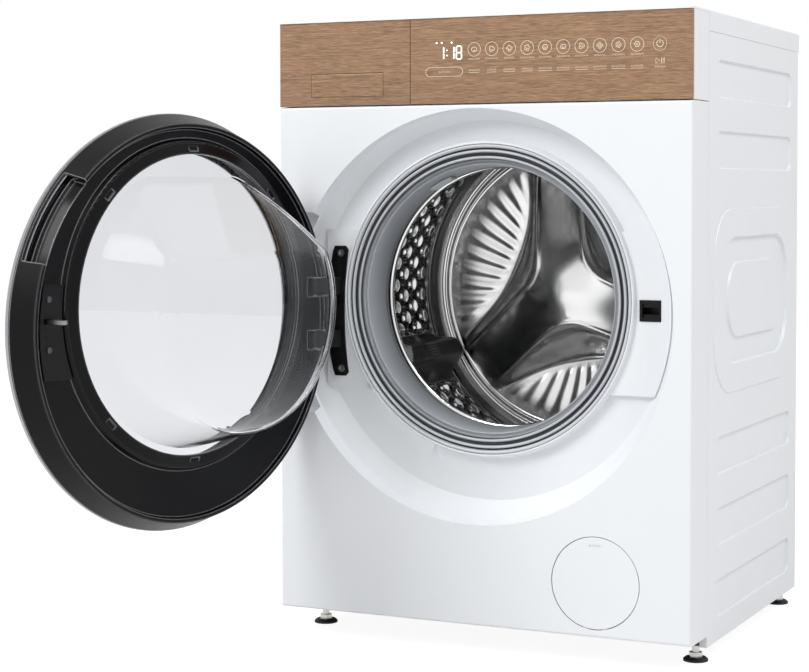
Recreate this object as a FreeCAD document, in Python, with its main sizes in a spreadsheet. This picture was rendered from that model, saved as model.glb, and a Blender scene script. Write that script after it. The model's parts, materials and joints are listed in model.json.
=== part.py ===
"""Front load washing machine: parametric model, millimetres, +Z up.

Machine frame: X runs from the hinge side to the lock side, Y from the front to the back, Z up from the floor.
The front face of the door panel is Y = 0 before the whole machine is shifted to its origin.
"""
import FreeCAD, Part
import math
import os
import Sketcher

doc = FreeCAD.newDocument("FrontLoadWasher")
sheet = doc.addObject("Spreadsheet::Sheet", "Dims")
V = FreeCAD.Vector

SIZES = {
    "Machine": {
        "frame_x": 48.6, "frame_y": -17.6,
        "body_w": 595.0, "body_top": 850.0, "cover_back": 524.0, "cover_lip": 1.5,
        "front_return": 67.0, "panel_seam": 0.4, "sheet_t": 0.9,
    },
    "Side panels": {
        "side_back": 508.0, "side_low": 23.0, "side_high": 822.6, "side_flange": 9.0,
        "emboss_d": 3.0, "emboss_taper": 30.0, "row_y_near": 106.0, "row_y_far": 470.0, "row_half": 25.0,
        "row_round": 12.0, "row_one": 764.0, "row_two": 671.0, "row_three": 268.0, "row_four": 174.0,
        "row_five": 79.0, "nest_z": 470.0, "nest_y_near": 89.0, "nest_y_far": 486.0, "nest_half": 123.5,
        "nest_round": 78.0, "nest_step": 36.0, "nest_wave": 1.2,
    },
    "Top cover": {
        "cover_skin": 3.4, "cover_skirt": 27.0, "cover_wall": 5.0, "cover_corner": 12.0, "cover_edge": 2.0,
    },
    "Front panel": {
        "front_low": 38.0, "front_high": 731.6, "front_t": 1.5, "front_round": 3.5,
        "dish_x": -4.0, "dish_z": 449.3, "dish_rad": 277.0, "dish_mid_rad": 276.0, "dish_mid_d": 25.0,
        "dish_mid_z": 451.0, "dish_floor_rad": 255.0, "dish_floor_z": 456.5, "dish_d": 38.6,
        "collar_in": 208.0, "collar_top": 25.5, "collar_foot": 214.0, "collar_back": 50.0,
        "pad_level": 32.0, "pad_z_high": 564.0, "pad_z_low": 351.0, "pad_reach": 241.0, "pad_lock_reach": 259.0,
        "swell_rad": 224.0, "swell_level": 30.0, "swell_from": 216.0, "swell_to": 249.0,
        "relief_left": -285.0, "relief_right": -230.0, "relief_half": 138.0, "relief_d": 20.0, "relief_round": 20.0,
        "relief_taper": 14.0,
    },
    "Console": {
        "console_low": 732.6, "console_high": 846.4, "fascia_t": 3.5, "fascia_split": -97.6, "split_gap": 0.6,
        "console_wall": 2.5,
    },
    "Keys and display": {
        "key_count": 10.0, "key_first": -4.3, "key_pitch": 25.13, "key_z": 805.6, "key_rad": 9.2, "key_line": 0.9,
        "mark_t": 0.25, "digit_high": 17.0, "digit_wide": 9.0, "digit_line": 1.7, "digit_z": 802.0,
        "pill_left": -74.4, "pill_right": -20.2, "pill_z": 775.0, "pill_half": 6.2, "power_x": 253.2,
        "power_z": 804.2, "play_z": 782.8,
    },
    "Drawer": {
        "tray_left": -283.0, "tray_right": -107.0, "tray_low": 741.5, "tray_high": 818.0, "tray_back": 262.0,
        "tray_front": 30.0, "tray_t": 2.2, "housing_t": 2.0, "housing_gap": 1.2,
        "housing_back": 300.0,
        "grip_left": -248.4, "grip_right": -137.8, "grip_low": 744.6, "grip_high": 776.6, "grip_gap": 0.5,
        "grip_d": 24.0, "flap_t": 2.6, "flap_pin": 0.9, "flap_pin_fit": 0.05, "flap_pin_in": 3.0,
    },
    "Door": {
        "hinge_x": -243.0, "hinge_y": -1.0, "door_open": 104.2, "door_reach": 243.0, "door_z": 448.0,
        "glass_z": 472.0, "bezel_rad": 268.0, "bezel_face": 32.0, "frame_out": 267.2, "frame_back": 20.0,
        "frame_rim": 254.7, "frame_face": 12.4, "land_in": 249.5, "flat_level": 7.0, "flat_out": 247.0,
        "flat_in": 212.5, "bead_rad": 205.5, "bead_level": 14.0, "lip_rad": 191.6, "lip_level": 18.0,
        "wall_rad": 201.5, "wall_t": 3.0, "window_rad": 213.0, "window_t": 4.0, "scoop_in": 244.0,
        "scoop_ridge": 251.0, "scoop_deep": -7.0, "scoop_from": 19.0, "scoop_to": 46.0,
    },
    "Glass bowl": {
        "bowl_flange": 199.5, "bowl_seat": 12.6, "bowl_t": 4.0, "bowl_root": 182.0,
        "bowl_turn": 158.0, "bowl_turn_w": 114.0, "bowl_end_w": 130.0, "slope_root": 164.0, "slope_end": 61.0,
        "slope_round": 20.0,
    },
    "Hinge": {
        "plate_left": -226.0, "plate_right": -207.5, "plate_t": 2.5, "plate_high": 541.0,
        "plate_low": 361.0, "arm_high": 485.5, "arm_low": 412.5, "arm_half": 11.5, "arm_gap": 1.5, "barrel_rad": 8.0,
        "pin_rad": 4.0, "pin_fit": 0.05, "pin_half": 56.0, "screw_head": 5.0, "screw_head_t": 2.2,
        "screw_rad": 2.5,
    },
    "Latch": {
        "latch_u": 476.0, "latch_z": 462.0, "latch_high": 505.0, "latch_low": 391.0, "hook_t": 5.0,
        "hook_pivot_w": -1.0, "hook_pivot_rad": 2.0, "hook_tip_w": 44.0, "hook_slot": 6.6, "hook_half": 4.0,
        "lock_x": 231.0, "lock_half_w": 14.5, "lock_half_z": 13.8, "lock_d": 34.0, "lock_proud": 1.5,
    },
    "Drum": {
        "drum_z": 472.0, "drum_rad": 240.0, "drum_t": 1.0, "drum_front": 104.0, "drum_side": 126.0,
        "drum_side_end": 366.0, "drum_back_y": 388.0, "mouth_rad": 176.0, "back_rad": 214.0, "bead_d": 5.0,
        "star_level": 306.0, "star_hub": 26.0, "star_tip": 206.0, "star_turn": 98.0, "star_fall": 14.0,
        "lifter_high": 46.0, "lifter_base": 40.0, "lifter_top": 13.0, "lifter_front": 150.0,
        "lifter_end": 349.4, "lifter_turn": 207.0,
    },
    "Tub and drive": {
        "tub_in": 256.0, "tub_t": 4.0, "tub_front": 92.0, "tub_split": 240.0, "tub_back": 410.0,
        "neck_in": 188.0, "neck_t": 4.0, "neck_front": 78.0, "hub_rad": 42.0, "hub_back": 458.0,
        "shaft_rad": 12.5, "shaft_fit": 0.05, "shaft_end": 492.0, "bearing_rad": 26.0, "bearing_t": 12.0,
        "spider_t": 12.0, "spider_w": 26.0, "rotor_rad": 130.0, "rotor_back": 476.0, "rotor_front": 446.0,
        "stator_rad": 118.0, "weight_in": 205.0, "weight_out": 257.0, "weight_front": 60.0, "damper_x": 150.0,
        "damper_y": 253.0, "damper_lean": 14.0,
    },
    "Gasket": {
        "seal_out": 207.7, "seal_front": 25.4, "seal_tube": 178.0, "seal_end": 93.5,
    },
    "Service": {
        "cap_x": 167.9, "cap_z": 108.8, "cap_rad": 60.0, "cap_gap": 1.0, "cap_t": 3.0, "cap_round": 0.8,
        "cap_hook_x": 13.0, "cap_hook_w": 7.0, "cap_hook_t": 2.2, "cap_hook_low": 5.0, "cap_hook_high": 9.0,
        "cap_hook_gap": 0.4, "filter_rad": 27.0, "filter_front": 22.0,
        "filter_back": 60.0, "filter_gap": 0.4, "pump_back": 168.0,
    },
    "Feet": {
        "foot_in": 22.0, "foot_front_y": 90.0, "foot_rear_y": 489.0, "pad_rad": 16.5, "pad_high": 5.0,
        "stem_rad": 5.0, "stem_fit": 0.06, "stem_top": 62.0, "nut_half": 8.0, "base_high": 42.0, "base_t": 2.0,
        "boss_rad": 13.0,
    },
    "Rear": {
        "rear_t": 1.0, "rear_dome_rad": 172.0, "rear_dome_d": 9.0, "valve_x": 210.0, "valve_z": 790.0,
        "valve_rad": 13.2, "drain_x": -215.0, "drain_z": 700.0, "gland_x": -250.0, "gland_z": 782.0,
        "transit_x": 196.0, "transit_z": 176.0, "transit_rad": 14.0,
    },
}


class Size:
    """A number together with the sheet expression it comes from."""

    def __init__(self, value, text):
        self.value = float(value)
        self.text = text

    def joined(self, other, sign, value):
        return Size(value, f"({self.text} {sign} {other.text})")

    def __add__(self, other):
        other = size(other)
        return self.joined(other, "+", self.value + other.value)

    def __sub__(self, other):
        other = size(other)
        return self.joined(other, "-", self.value - other.value)

    def __mul__(self, other):
        other = size(other)
        return self.joined(other, "*", self.value * other.value)

    def __truediv__(self, other):
        other = size(other)
        return self.joined(other, "/", self.value / other.value)

    def __radd__(self, other):
        return size(other) + self

    def __rsub__(self, other):
        return size(other) - self

    def __rmul__(self, other):
        return size(other) * self

    def __neg__(self):
        return Size(-self.value, f"(0 - {self.text})")


def size(value):
    return value if isinstance(value, Size) else Size(value, repr(float(value)))


def polar_x(radius, degrees):
    """X of a point at a radius and an angle."""
    radius, degrees = size(radius), size(degrees)
    value = radius.value * math.cos(math.radians(degrees.value))
    return Size(value, f"({radius.text} * cos({degrees.text} * 1 deg))")


def polar_y(radius, degrees):
    """Y of a point at a radius and an angle."""
    radius, degrees = size(radius), size(degrees)
    value = radius.value * math.sin(math.radians(degrees.value))
    return Size(value, f"({radius.text} * sin({degrees.text} * 1 deg))")


def root(a, b):
    """The other leg of a right triangle with hypotenuse a and leg b."""
    a, b = size(a), size(b)
    return Size(math.sqrt(a.value ** 2 - b.value ** 2), f"sqrt({a.text} ^ 2 - {b.text} ^ 2)")


def across(a, b):
    """The hypotenuse of a right triangle with legs a and b."""
    a, b = size(a), size(b)
    return Size(math.hypot(a.value, b.value), f"sqrt({a.text} ^ 2 + {b.text} ^ 2)")


class Dims:
    """The driving dimensions: d.body_w is the cell body_w of the sheet."""

    def __init__(self):
        row = 1
        for group, cells in SIZES.items():
            sheet.set(f"A{row}", group)
            row += 1
            for name, value in cells.items():
                sheet.set(f"A{row}", name)
                sheet.set(f"B{row}", str(value))
                sheet.setAlias(f"B{row}", name)
                setattr(self, name, Size(value, f"Dims.{name}"))
                row += 1
        doc.recompute()


d = Dims()
BODIES = []
ALONG_Y = V(0, 1, 0)
PLANES = {"top": "XY_Plane", "front": "XZ_Plane", "side": "YZ_Plane"}


def bind(thing, name, value):
    """Drive one property of an object by the sheet."""
    thing.setExpression(name, size(value).text)


def place(thing, x=0.0, y=0.0, z=0.0, turn=None, axis=V(0, 0, 1)):
    """Put an object at sheet-driven coordinates of the machine frame."""
    if turn is not None:
        thing.Placement = FreeCAD.Placement(V(0, 0, 0), FreeCAD.Rotation(axis, size(turn).value))
        bind(thing, "Placement.Rotation.Angle", turn)
    bind(thing, "Placement.Base.x", size(x))
    bind(thing, "Placement.Base.y", size(y))
    bind(thing, "Placement.Base.z", size(z))
    return thing


class Body:
    """A PartDesign body with short calls for the features used below."""

    def __init__(self, name, x=0.0, y=0.0, z=0.0, turn=None, axis=V(0, 0, 1)):
        self.name = name
        self.body = doc.addObject("PartDesign::Body", name)
        self.body.Label = name
        self.count = 0
        place(self.body, d.frame_x + x, d.frame_y + y, z, turn, axis)
        BODIES.append(self)

    def new(self, kind):
        self.count += 1
        feature = self.body.newObject(kind, f"{self.name}_{self.count}")
        return feature

    def sketch(self, plane, offset=0.0):
        """A sketch on an origin plane, moved along +Z, +Y or +X by the offset."""
        sk = self.new("Sketcher::SketchObject")
        for part in self.body.Origin.OriginFeatures:
            if part.Role == PLANES[plane]:
                sk.AttachmentSupport = [(part, "")]
        sk.MapMode = "FlatFace"
        offset = size(offset)
        bind(sk, "AttachmentOffset.Base.z", -offset if plane == "front" else offset)
        return sk

    def pad(self, sk, length, toward_plus=True, taper=None):
        """Add material from the sketch along the machine axis, plus or minus."""
        feature = self.new("PartDesign::Pad")
        feature.Profile = sk
        bind(feature, "Length", length)
        feature.Reversed = toward_plus == (self.plane_of(sk) == "front")
        if taper is not None:
            bind(feature, "TaperAngle", taper)
        return self.done(feature, sk)

    def pocket(self, sk, length, toward_plus=True, taper=None):
        """Cut from the sketch along the machine axis, plus or minus."""
        feature = self.new("PartDesign::Pocket")
        feature.Profile = sk
        bind(feature, "Length", length)
        feature.Reversed = toward_plus == (self.plane_of(sk) != "front")
        if taper is not None:
            bind(feature, "TaperAngle", taper)
        return self.done(feature, sk)

    def revolve(self, sk, axis="H_Axis", cut=False, angle=360.0):
        feature = self.new("PartDesign::Groove" if cut else "PartDesign::Revolution")
        feature.Profile = sk
        feature.ReferenceAxis = (sk, [axis])
        bind(feature, "Angle", angle)
        return self.done(feature, sk)

    def loft(self, sketches, cut=False, ruled=True):
        feature = self.new("PartDesign::SubtractiveLoft" if cut else "PartDesign::AdditiveLoft")
        feature.Profile = sketches[0]
        feature.Sections = sketches[1:]
        feature.Ruled = ruled
        return self.done(feature, *sketches)

    def polar(self, features, axis_role, count, sweep=360.0):
        """Repeat features about an axis of the body."""
        feature = self.new("PartDesign::PolarPattern")
        feature.Originals = features
        for part in self.body.Origin.OriginFeatures:
            if part.Role == axis_role:
                feature.Axis = (part, [""])
        feature.Angle = sweep
        feature.Occurrences = count
        self.body.Tip = feature
        return self.done(feature)

    def linear(self, features, axis_role, length, count):
        """Repeat features along an axis of the body."""
        feature = self.new("PartDesign::LinearPattern")
        feature.Originals = features
        for part in self.body.Origin.OriginFeatures:
            if part.Role == axis_role:
                feature.Direction = (part, [""])
        bind(feature, "Length", length)
        feature.Occurrences = count
        self.body.Tip = feature
        return self.done(feature)

    def round_edges(self, radius, chosen, chamfer=False):
        """Fillet or chamfer the edges of the present shape that the test picks."""
        doc.recompute()
        tip = self.body.Tip
        names = [f"Edge{i + 1}" for i, edge in enumerate(tip.Shape.Edges) if chosen(edge)]
        if not names:
            raise ValueError(f"no edge to round on {self.name}")
        feature = self.new("PartDesign::Chamfer" if chamfer else "PartDesign::Fillet")
        feature.Base = (tip, names)
        bind(feature, "Size" if chamfer else "Radius", radius)
        return self.done(feature)

    def plane_of(self, sk):
        role = sk.AttachmentSupport[0][0].Role
        return [name for name, plane in PLANES.items() if plane == role][0]

    def done(self, feature, *sketches):
        for sk in sketches:
            sk.Visibility = False
        self.body.Tip = feature
        return feature


def minus(name, base, tool):
    """Cut one body from another; the result is the sub-part."""
    result = doc.addObject("Part::Cut", name)
    result.Label = name
    result.Base, result.Tool = base.body, tool.body
    BODIES.remove(tool)
    base.name, base.body = name, result


def drive(sk, constraint, value):
    """Add one constraint whose value the sheet gives."""
    index = sk.addConstraint(constraint)
    sk.setExpression(f"Constraints[{index}]", size(value).text)


def pin_point(sk, geometry, end, x, y):
    """Hold one point of a sketch at sheet-driven coordinates."""
    for value, kind, axis in ((size(x), "DistanceX", -2), (size(y), "DistanceY", -1)):
        if abs(value.value) < 1e-9:
            sk.addConstraint(Sketcher.Constraint("PointOnObject", geometry, end, axis))
        else:
            drive(sk, Sketcher.Constraint(kind, -1, 1, geometry, end, value.value), value)


def circle(sk, radius, x=0.0, y=0.0):
    radius, x, y = size(radius), size(x), size(y)
    index = sk.addGeometry(Part.Circle(V(x.value, y.value, 0), V(0, 0, 1), radius.value), False)
    pin_point(sk, index, 3, x, y)
    drive(sk, Sketcher.Constraint("Radius", index, radius.value), radius)
    return index


def outline(sk, corners):
    """A closed line of corners (x, y) or (x, y, radius, side).

    With a radius the edge that arrives at the corner is the shorter arc of that radius;
    side 1 bulges to the right of the way it runs, side -1 to the left.
    """
    points = [(size(c[0]), size(c[1])) for c in corners]
    edges = []
    for i, corner in enumerate(corners):
        start, end = points[i - 1], points[i]
        a, b = V(start[0].value, start[1].value, 0), V(end[0].value, end[1].value, 0)
        if len(corner) == 2:
            edges.append((sk.addGeometry(Part.LineSegment(a, b), False), 1, 2, None))
            continue
        radius, side = size(corner[2]), corner[3]
        chord = b - a
        rise = math.sqrt(max(radius.value ** 2 - (chord.Length / 2) ** 2, 0.0))
        left = V(-chord.y, chord.x, 0).normalize()
        centre = (a + b) * 0.5 + left * (rise * side)
        first, last = (a, b) if side > 0 else (b, a)
        begin = math.atan2(first.y - centre.y, first.x - centre.x)
        finish = math.atan2(last.y - centre.y, last.x - centre.x)
        arc = Part.ArcOfCircle(Part.Circle(centre, V(0, 0, 1), radius.value), begin, finish)
        index = sk.addGeometry(arc, False)
        edges.append((index, 1, 2, radius) if side > 0 else (index, 2, 1, radius))
    for i, (index, start, end, radius) in enumerate(edges):
        following = edges[(i + 1) % len(edges)]
        sk.addConstraint(Sketcher.Constraint("Coincident", index, end, following[0], following[1]))
        pin_point(sk, index, end, points[i][0], points[i][1])
        if radius is not None:
            drive(sk, Sketcher.Constraint("Radius", index, radius.value), radius)


def box_outline(sk, x_low, x_high, y_low, y_high, corner=None):
    """A rectangle, with round corners when a corner radius is given."""
    x_low, x_high, y_low, y_high = size(x_low), size(x_high), size(y_low), size(y_high)
    if corner is None:
        outline(sk, [(x_low, y_low), (x_high, y_low), (x_high, y_high), (x_low, y_high)])
        return
    c = size(corner)
    outline(sk, [
        (x_low + c, y_low, c, 1), (x_high - c, y_low), (x_high, y_low + c, c, 1), (x_high, y_high - c),
        (x_high - c, y_high, c, 1), (x_low + c, y_high), (x_low, y_high - c, c, 1), (x_low, y_low + c),
    ])


def band_outline(sk, inner, outer, angles, x=0.0, y=0.0):
    """A ring sector through rising angles, each step below 180 degrees, about a centre."""

    def spot(radius, angle):
        return x + polar_x(radius, angle), y + polar_y(radius, angle)

    corners = [(*spot(inner, angles[0]), inner, -1), spot(outer, angles[0])]
    corners += [(*spot(outer, angle), outer, 1) for angle in angles[1:]]
    corners += [spot(inner, angles[-1])]
    corners += [(*spot(inner, angle), inner, -1) for angle in angles[-2:0:-1]]
    outline(sk, corners)


half_w = d.body_w / 2
side_start = d.front_return + d.panel_seam


def pad_box(body, plane, offset, x_low, x_high, y_low, y_high, length, toward_plus=True, corner=None, taper=None):
    """Pad a rectangle drawn on a plane."""
    sk = body.sketch(plane, offset)
    box_outline(sk, x_low, x_high, y_low, y_high, corner)
    return body.pad(sk, length, toward_plus, taper)


def cut_box(body, plane, offset, x_low, x_high, y_low, y_high, length, toward_plus=True, corner=None, taper=None):
    """Cut a rectangle drawn on a plane."""
    sk = body.sketch(plane, offset)
    box_outline(sk, x_low, x_high, y_low, y_high, corner)
    return body.pocket(sk, length, toward_plus, taper)


def pad_disc(body, plane, offset, radius, length, toward_plus=True, x=0.0, y=0.0, hole=None):
    """Pad a disc, or a ring when a hole radius is given."""
    sk = body.sketch(plane, offset)
    circle(sk, radius, x, y)
    if hole is not None:
        circle(sk, hole, x, y)
    return body.pad(sk, length, toward_plus)


def cut_disc(body, plane, offset, radius, length, toward_plus=True, x=0.0, y=0.0):
    """Cut a round hole."""
    sk = body.sketch(plane, offset)
    circle(sk, radius, x, y)
    return body.pocket(sk, length, toward_plus)


def turned(name, corners, z=None, x=0.0, turn=None):
    """A body turned about a line along Y; corners are (Y, radius)."""
    body = Body(name, x=x, z=d.drum_z if z is None else z, turn=turn, axis=ALONG_Y)
    sk = body.sketch("side")
    outline(sk, corners)
    body.revolve(sk)
    return body


def side_panel(name, sign):
    """Embossed side sheet with its folded flanges."""
    body = Body(name)
    outer = half_w * sign
    inner = (half_w - d.sheet_t) * sign
    outward = sign > 0
    pad_box(body, "side", inner, side_start, d.side_back, d.side_low, d.side_high, d.sheet_t, outward)
    flange_ends = ((side_start, side_start + d.sheet_t), (d.side_back - d.sheet_t, d.side_back))
    for near, far in flange_ends:
        pad_box(body, "side", inner, near, far, d.side_low, d.side_high, d.side_flange, not outward)
    pad_box(body, "side", inner, side_start, d.side_back, d.side_low, d.side_low + d.sheet_t, d.side_flange,
            not outward)
    for row in (d.row_one, d.row_two, d.row_three, d.row_four, d.row_five):
        low, high = row - d.row_half, row + d.row_half
        pad_box(body, "side", inner, d.row_y_near - d.sheet_t, d.row_y_far + d.sheet_t, low - d.sheet_t,
                high + d.sheet_t, d.emboss_d, not outward, d.row_round, -d.emboss_taper)
        cut_box(body, "side", outer, d.row_y_near, d.row_y_far, low, high, d.emboss_d, not outward, d.row_round,
                -d.emboss_taper)
    rings = [(d.nest_step * step, d.nest_round - d.nest_step * (0.45 * step)) for step in (0.0, 1.0, 1.9)]
    edges = [(d.nest_y_near + by, d.nest_y_far - by, d.nest_z - d.nest_half + by * 1.05,
              d.nest_z + d.nest_half - by * 1.05, corner) for by, corner in rings]
    a, b, c, e, corner = edges[0]
    pad_box(body, "side", outer, a, b, c, e, d.nest_wave, outward, corner, -d.emboss_taper)
    a, b, c, e, corner = edges[1]
    pad_box(body, "side", inner, a, b, c, e, d.emboss_d, not outward, corner, -d.emboss_taper)
    cut_box(body, "side", (half_w + d.nest_wave) * sign, a, b, c, e, d.emboss_d + d.nest_wave, not outward, corner,
            -d.emboss_taper)
    a, b, c, e, corner = edges[2]
    pad_box(body, "side", (half_w - d.emboss_d) * sign, a, b, c, e, d.emboss_d, outward, corner, -d.emboss_taper)
    return body


def rear_panel():
    """Back sheet with a dome for the motor and the service holes."""
    body = Body("rear_panel")
    face = d.side_back + 0.2
    edge = half_w - 1.5
    pad_box(body, "front", face, -edge, edge, d.side_low + 1.0, d.side_high, d.rear_t)
    dome, hollow = [], []
    for out, radius in ((d.rear_t - 0.2, d.rear_dome_rad), (d.rear_t + d.rear_dome_d, d.rear_dome_rad - 14.0)):
        dome.append(body.sketch("front", face + out))
        circle(dome[-1], radius, 0.0, d.drum_z)
    body.loft(dome)
    for out, radius in ((0.0, d.rear_dome_rad), (d.rear_dome_d, d.rear_dome_rad - 14.0)):
        hollow.append(body.sketch("front", face + out))
        circle(hollow[-1], radius - d.rear_t, 0.0, d.drum_z)
    body.loft(hollow, cut=True)
    for x, z, radius in ((d.valve_x, d.valve_z, d.valve_rad + 0.8), (d.drain_x, d.drain_z, size(12.0)),
                         (d.gland_x, d.gland_z, size(8.5))):
        cut_disc(body, "front", face, radius, d.rear_t, True, x, z)
    for x in (-d.transit_x, d.transit_x):
        cut_disc(body, "front", face, d.transit_rad, d.rear_t, True, x, d.transit_z)
    slot = cut_box(body, "front", face, -60.0, 60.0, 120.0, 126.0, d.rear_t, True, 2.9)
    body.linear([slot], "Z_Axis", 60.0, 6)
    return body


def top_cover():
    """Lid with a deep skirt on the sides and back and a thin front edge."""
    body = Body("top_cover")
    skin_low = d.body_top - d.cover_skin
    pad_box(body, "top", skin_low, -half_w, half_w, -d.cover_lip, d.cover_back, d.cover_skin)
    skirt_low = d.body_top - d.cover_skirt
    pad_box(body, "top", skirt_low, -half_w, half_w, side_start, d.cover_back, d.cover_skirt - d.cover_skin)
    cut_box(body, "top", skirt_low, -half_w + d.cover_wall, half_w - d.cover_wall, side_start + d.cover_wall,
            d.cover_back - d.cover_wall, d.cover_skirt - d.cover_skin)
    back = d.cover_back.value

    def rear_corner(edge):
        a, b = edge.Vertexes[0].Point, edge.Vertexes[-1].Point
        upright = abs(a.x - b.x) < 0.01 and abs(a.y - b.y) < 0.01
        return upright and abs(a.y - back) < 0.1 and abs(abs(a.x) - half_w.value) < 0.1

    def top_rim(edge):
        top = d.body_top.value
        return all(abs(v.Point.z - top) < 0.01 for v in edge.Vertexes)

    body.round_edges(d.cover_corner, rear_corner)
    body.round_edges(d.cover_edge, top_rim)
    return body


def feet_spots():
    """Centres of the four feet as (tag, x, y)."""
    x = half_w - d.foot_in
    return (("front_left", -x, d.foot_front_y), ("front_right", x, d.foot_front_y),
            ("rear_left", -x, d.foot_rear_y), ("rear_right", x, d.foot_rear_y))


def base_tray():
    """Floor tray with a threaded boss over each foot."""
    body = Body("base_tray")
    edge = half_w - d.sheet_t - 0.3
    near, far = side_start + d.sheet_t + 0.4, d.side_back - d.sheet_t - 0.3
    low = d.side_low + d.sheet_t + 0.3
    pad_box(body, "top", low, -edge, edge, near, far, d.base_high - low)
    cut_box(body, "top", low, -edge + d.base_t, edge - d.base_t, near + d.base_t, far - d.base_t,
            d.base_high - low - d.base_t)
    for tag, x, y in feet_spots():
        pad_disc(body, "top", low, d.boss_rad, d.base_high - low, True, x, y)
        cut_disc(body, "top", low, d.stem_rad + d.stem_fit, d.base_high - low, True, x, y)
    for x in (-90.0, 90.0):
        pad_box(body, "top", low, x - 2.0, x + 2.0, near + d.base_t, far - d.base_t, d.base_high - low)
    return body


def foot(tag, x, y):
    """Levelling foot: rubber pad, threaded stem with its nut."""
    pad = Body(f"foot_pad_{tag}", x=x, y=y)
    sk = pad.sketch("side")
    outline(sk, [(0.0, 0.0), (d.pad_rad, 0.0), (d.pad_rad, d.pad_high * 0.5), (d.pad_rad - 3.0, d.pad_high),
                 (0.0, d.pad_high)])
    pad.revolve(sk, "V_Axis")
    stem = Body(f"foot_stem_{tag}", x=x, y=y)
    pad_disc(stem, "top", d.pad_high, d.stem_rad, d.stem_top - d.pad_high)
    sk = stem.sketch("top", d.pad_high)
    outline(sk, [(polar_x(d.nut_half * 1.1547, 60.0 * i), polar_y(d.nut_half * 1.1547, 60.0 * i))
                 for i in range(6)])
    stem.pad(sk, d.pad_high + 1.5)


def front_panel():
    """Door panel: eccentric dish, relief for the swinging rim, collar, hinge and lock seats, filter opening."""
    body = Body("front_panel")
    t = d.front_t
    pad_box(body, "front", 0.0, -half_w, half_w, d.front_low, d.front_high, t)
    levels = ((size(0.0), d.dish_x, d.dish_z, d.dish_rad), (d.dish_mid_d, d.dish_x, d.dish_mid_z, d.dish_mid_rad),
              (d.dish_d, size(0.0), d.dish_floor_z, d.dish_floor_rad))
    relief = (d.relief_left, d.relief_right, d.dish_z - d.relief_half, d.dish_z + d.relief_half)
    pad_box(body, "front", t, relief[0] - t, relief[1] + t, relief[2] - t, relief[3] + t, d.relief_d, True,
            d.relief_round + t, -d.relief_taper)
    for cut, extra, deeper in ((False, t, t), (True, size(0.0), size(0.0))):
        sketches = []
        for depth, x, z, radius in levels:
            start = depth + (deeper if depth.value > 0 else 0.0)
            sketches.append(body.sketch("front", start))
            circle(sketches[-1], radius + extra, x, z)
        body.loft(sketches, cut)
    cut_box(body, "front", 0.0, *relief, d.relief_d, True, d.relief_round, -d.relief_taper)
    collar = body.sketch("side")
    outline(collar, [
        (d.dish_d + 0.5, d.drum_z + d.collar_foot), (d.collar_top + 3.0, d.drum_z + d.collar_in + 3.4),
        (d.collar_top, d.drum_z + d.collar_in + 1.6, 3.4, 1), (d.collar_top, d.drum_z + d.collar_in + 0.4),
        (d.collar_top + 0.4, d.drum_z + d.collar_in), (d.collar_back, d.drum_z + d.collar_in),
        (d.collar_back, d.drum_z + d.collar_in + t), (d.dish_d + t - 0.2, d.drum_z + d.collar_in + t),
        (d.dish_d + t - 0.2, d.drum_z + d.collar_foot),
    ])
    line = collar.addGeometry(Part.LineSegment(V(0, d.drum_z.value, 0), V(10, d.drum_z.value, 0)), True)
    pin_point(collar, line, 1, 0.0, d.drum_z)
    pin_point(collar, line, 2, 10.0, d.drum_z)
    body.revolve(collar, "Axis0")
    swell = body.sketch("front", d.swell_level)
    band_outline(swell, d.collar_in + 2.0, d.swell_rad, (d.swell_from, d.swell_to), 0.0, d.drum_z)
    body.pad(swell, d.dish_d + 0.5 - d.swell_level)
    ring = d.collar_in + t
    reach = d.dish_floor_rad + 4.5
    for outer_x, side in ((d.pad_reach, -1), (d.pad_lock_reach, 1)):
        seat = body.sketch("front", d.pad_level)
        high, low = d.pad_z_high, d.pad_z_low
        x_high = root(ring, high - d.drum_z) * side
        x_low = root(ring, d.drum_z - low) * side
        corner_high = root(reach, high - d.dish_floor_z)
        corner_low = root(reach, d.dish_floor_z - low)
        if side < 0:
            outline(seat, [(x_high, high, ring, -1), (-outer_x, high), (-outer_x, low), (x_low, low)])
        else:
            outline(seat, [(x_low, low, ring, -1), (corner_low, low), (corner_high, high, reach, 1),
                           (x_high, high)])
        body.pad(seat, d.dish_d + 0.5 - d.pad_level)
    cut_disc(body, "front", d.pad_level - 12.0, d.collar_in, 60.0, True, 0.0, d.drum_z)
    cut_disc(body, "front", 0.0, d.cap_rad + d.cap_gap, t, True, d.cap_x, d.cap_z)
    lock_gap = 0.25
    cut_box(body, "front", 0.0, d.lock_x - d.lock_half_w - lock_gap, d.lock_x + d.lock_half_w + lock_gap,
            d.latch_z - d.lock_half_z - lock_gap, d.latch_z + d.lock_half_z + lock_gap, d.collar_back)
    for sign in (-1, 1):
        low_x, high_x = (-half_w, t - half_w) if sign < 0 else (half_w - t, half_w)
        pad_box(body, "front", t, low_x, high_x, d.front_low, d.front_high, d.front_return - t)
    for z_low, z_high in ((d.front_low, d.front_low + t), (d.front_high - t, d.front_high)):
        pad_box(body, "front", t, t - half_w, half_w - t, z_low, z_high, 14.0)

    def front_upright(edge):
        a, b = edge.Vertexes[0].Point, edge.Vertexes[-1].Point
        return all(abs(p.y) < 0.01 and abs(abs(p.x) - half_w.value) < 0.01 for p in (a, b))

    body.round_edges(d.front_round, front_upright)
    return body


def console_frame():
    """White frame behind the fascia with the drawer opening."""
    body = Body("console_frame")
    wall = d.console_wall
    front = d.fascia_t + 0.2
    low, high = d.console_low, d.console_high
    deep = d.front_return - front
    pad_box(body, "front", front, -half_w, half_w, low, high, deep)
    cut_box(body, "front", front + wall, wall - half_w, half_w - wall, low + wall, high - wall, deep - wall)
    gap = d.housing_gap
    cut_box(body, "front", front, d.tray_left - gap, d.tray_right + gap, d.tray_low - gap, d.tray_high + gap, wall)


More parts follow.
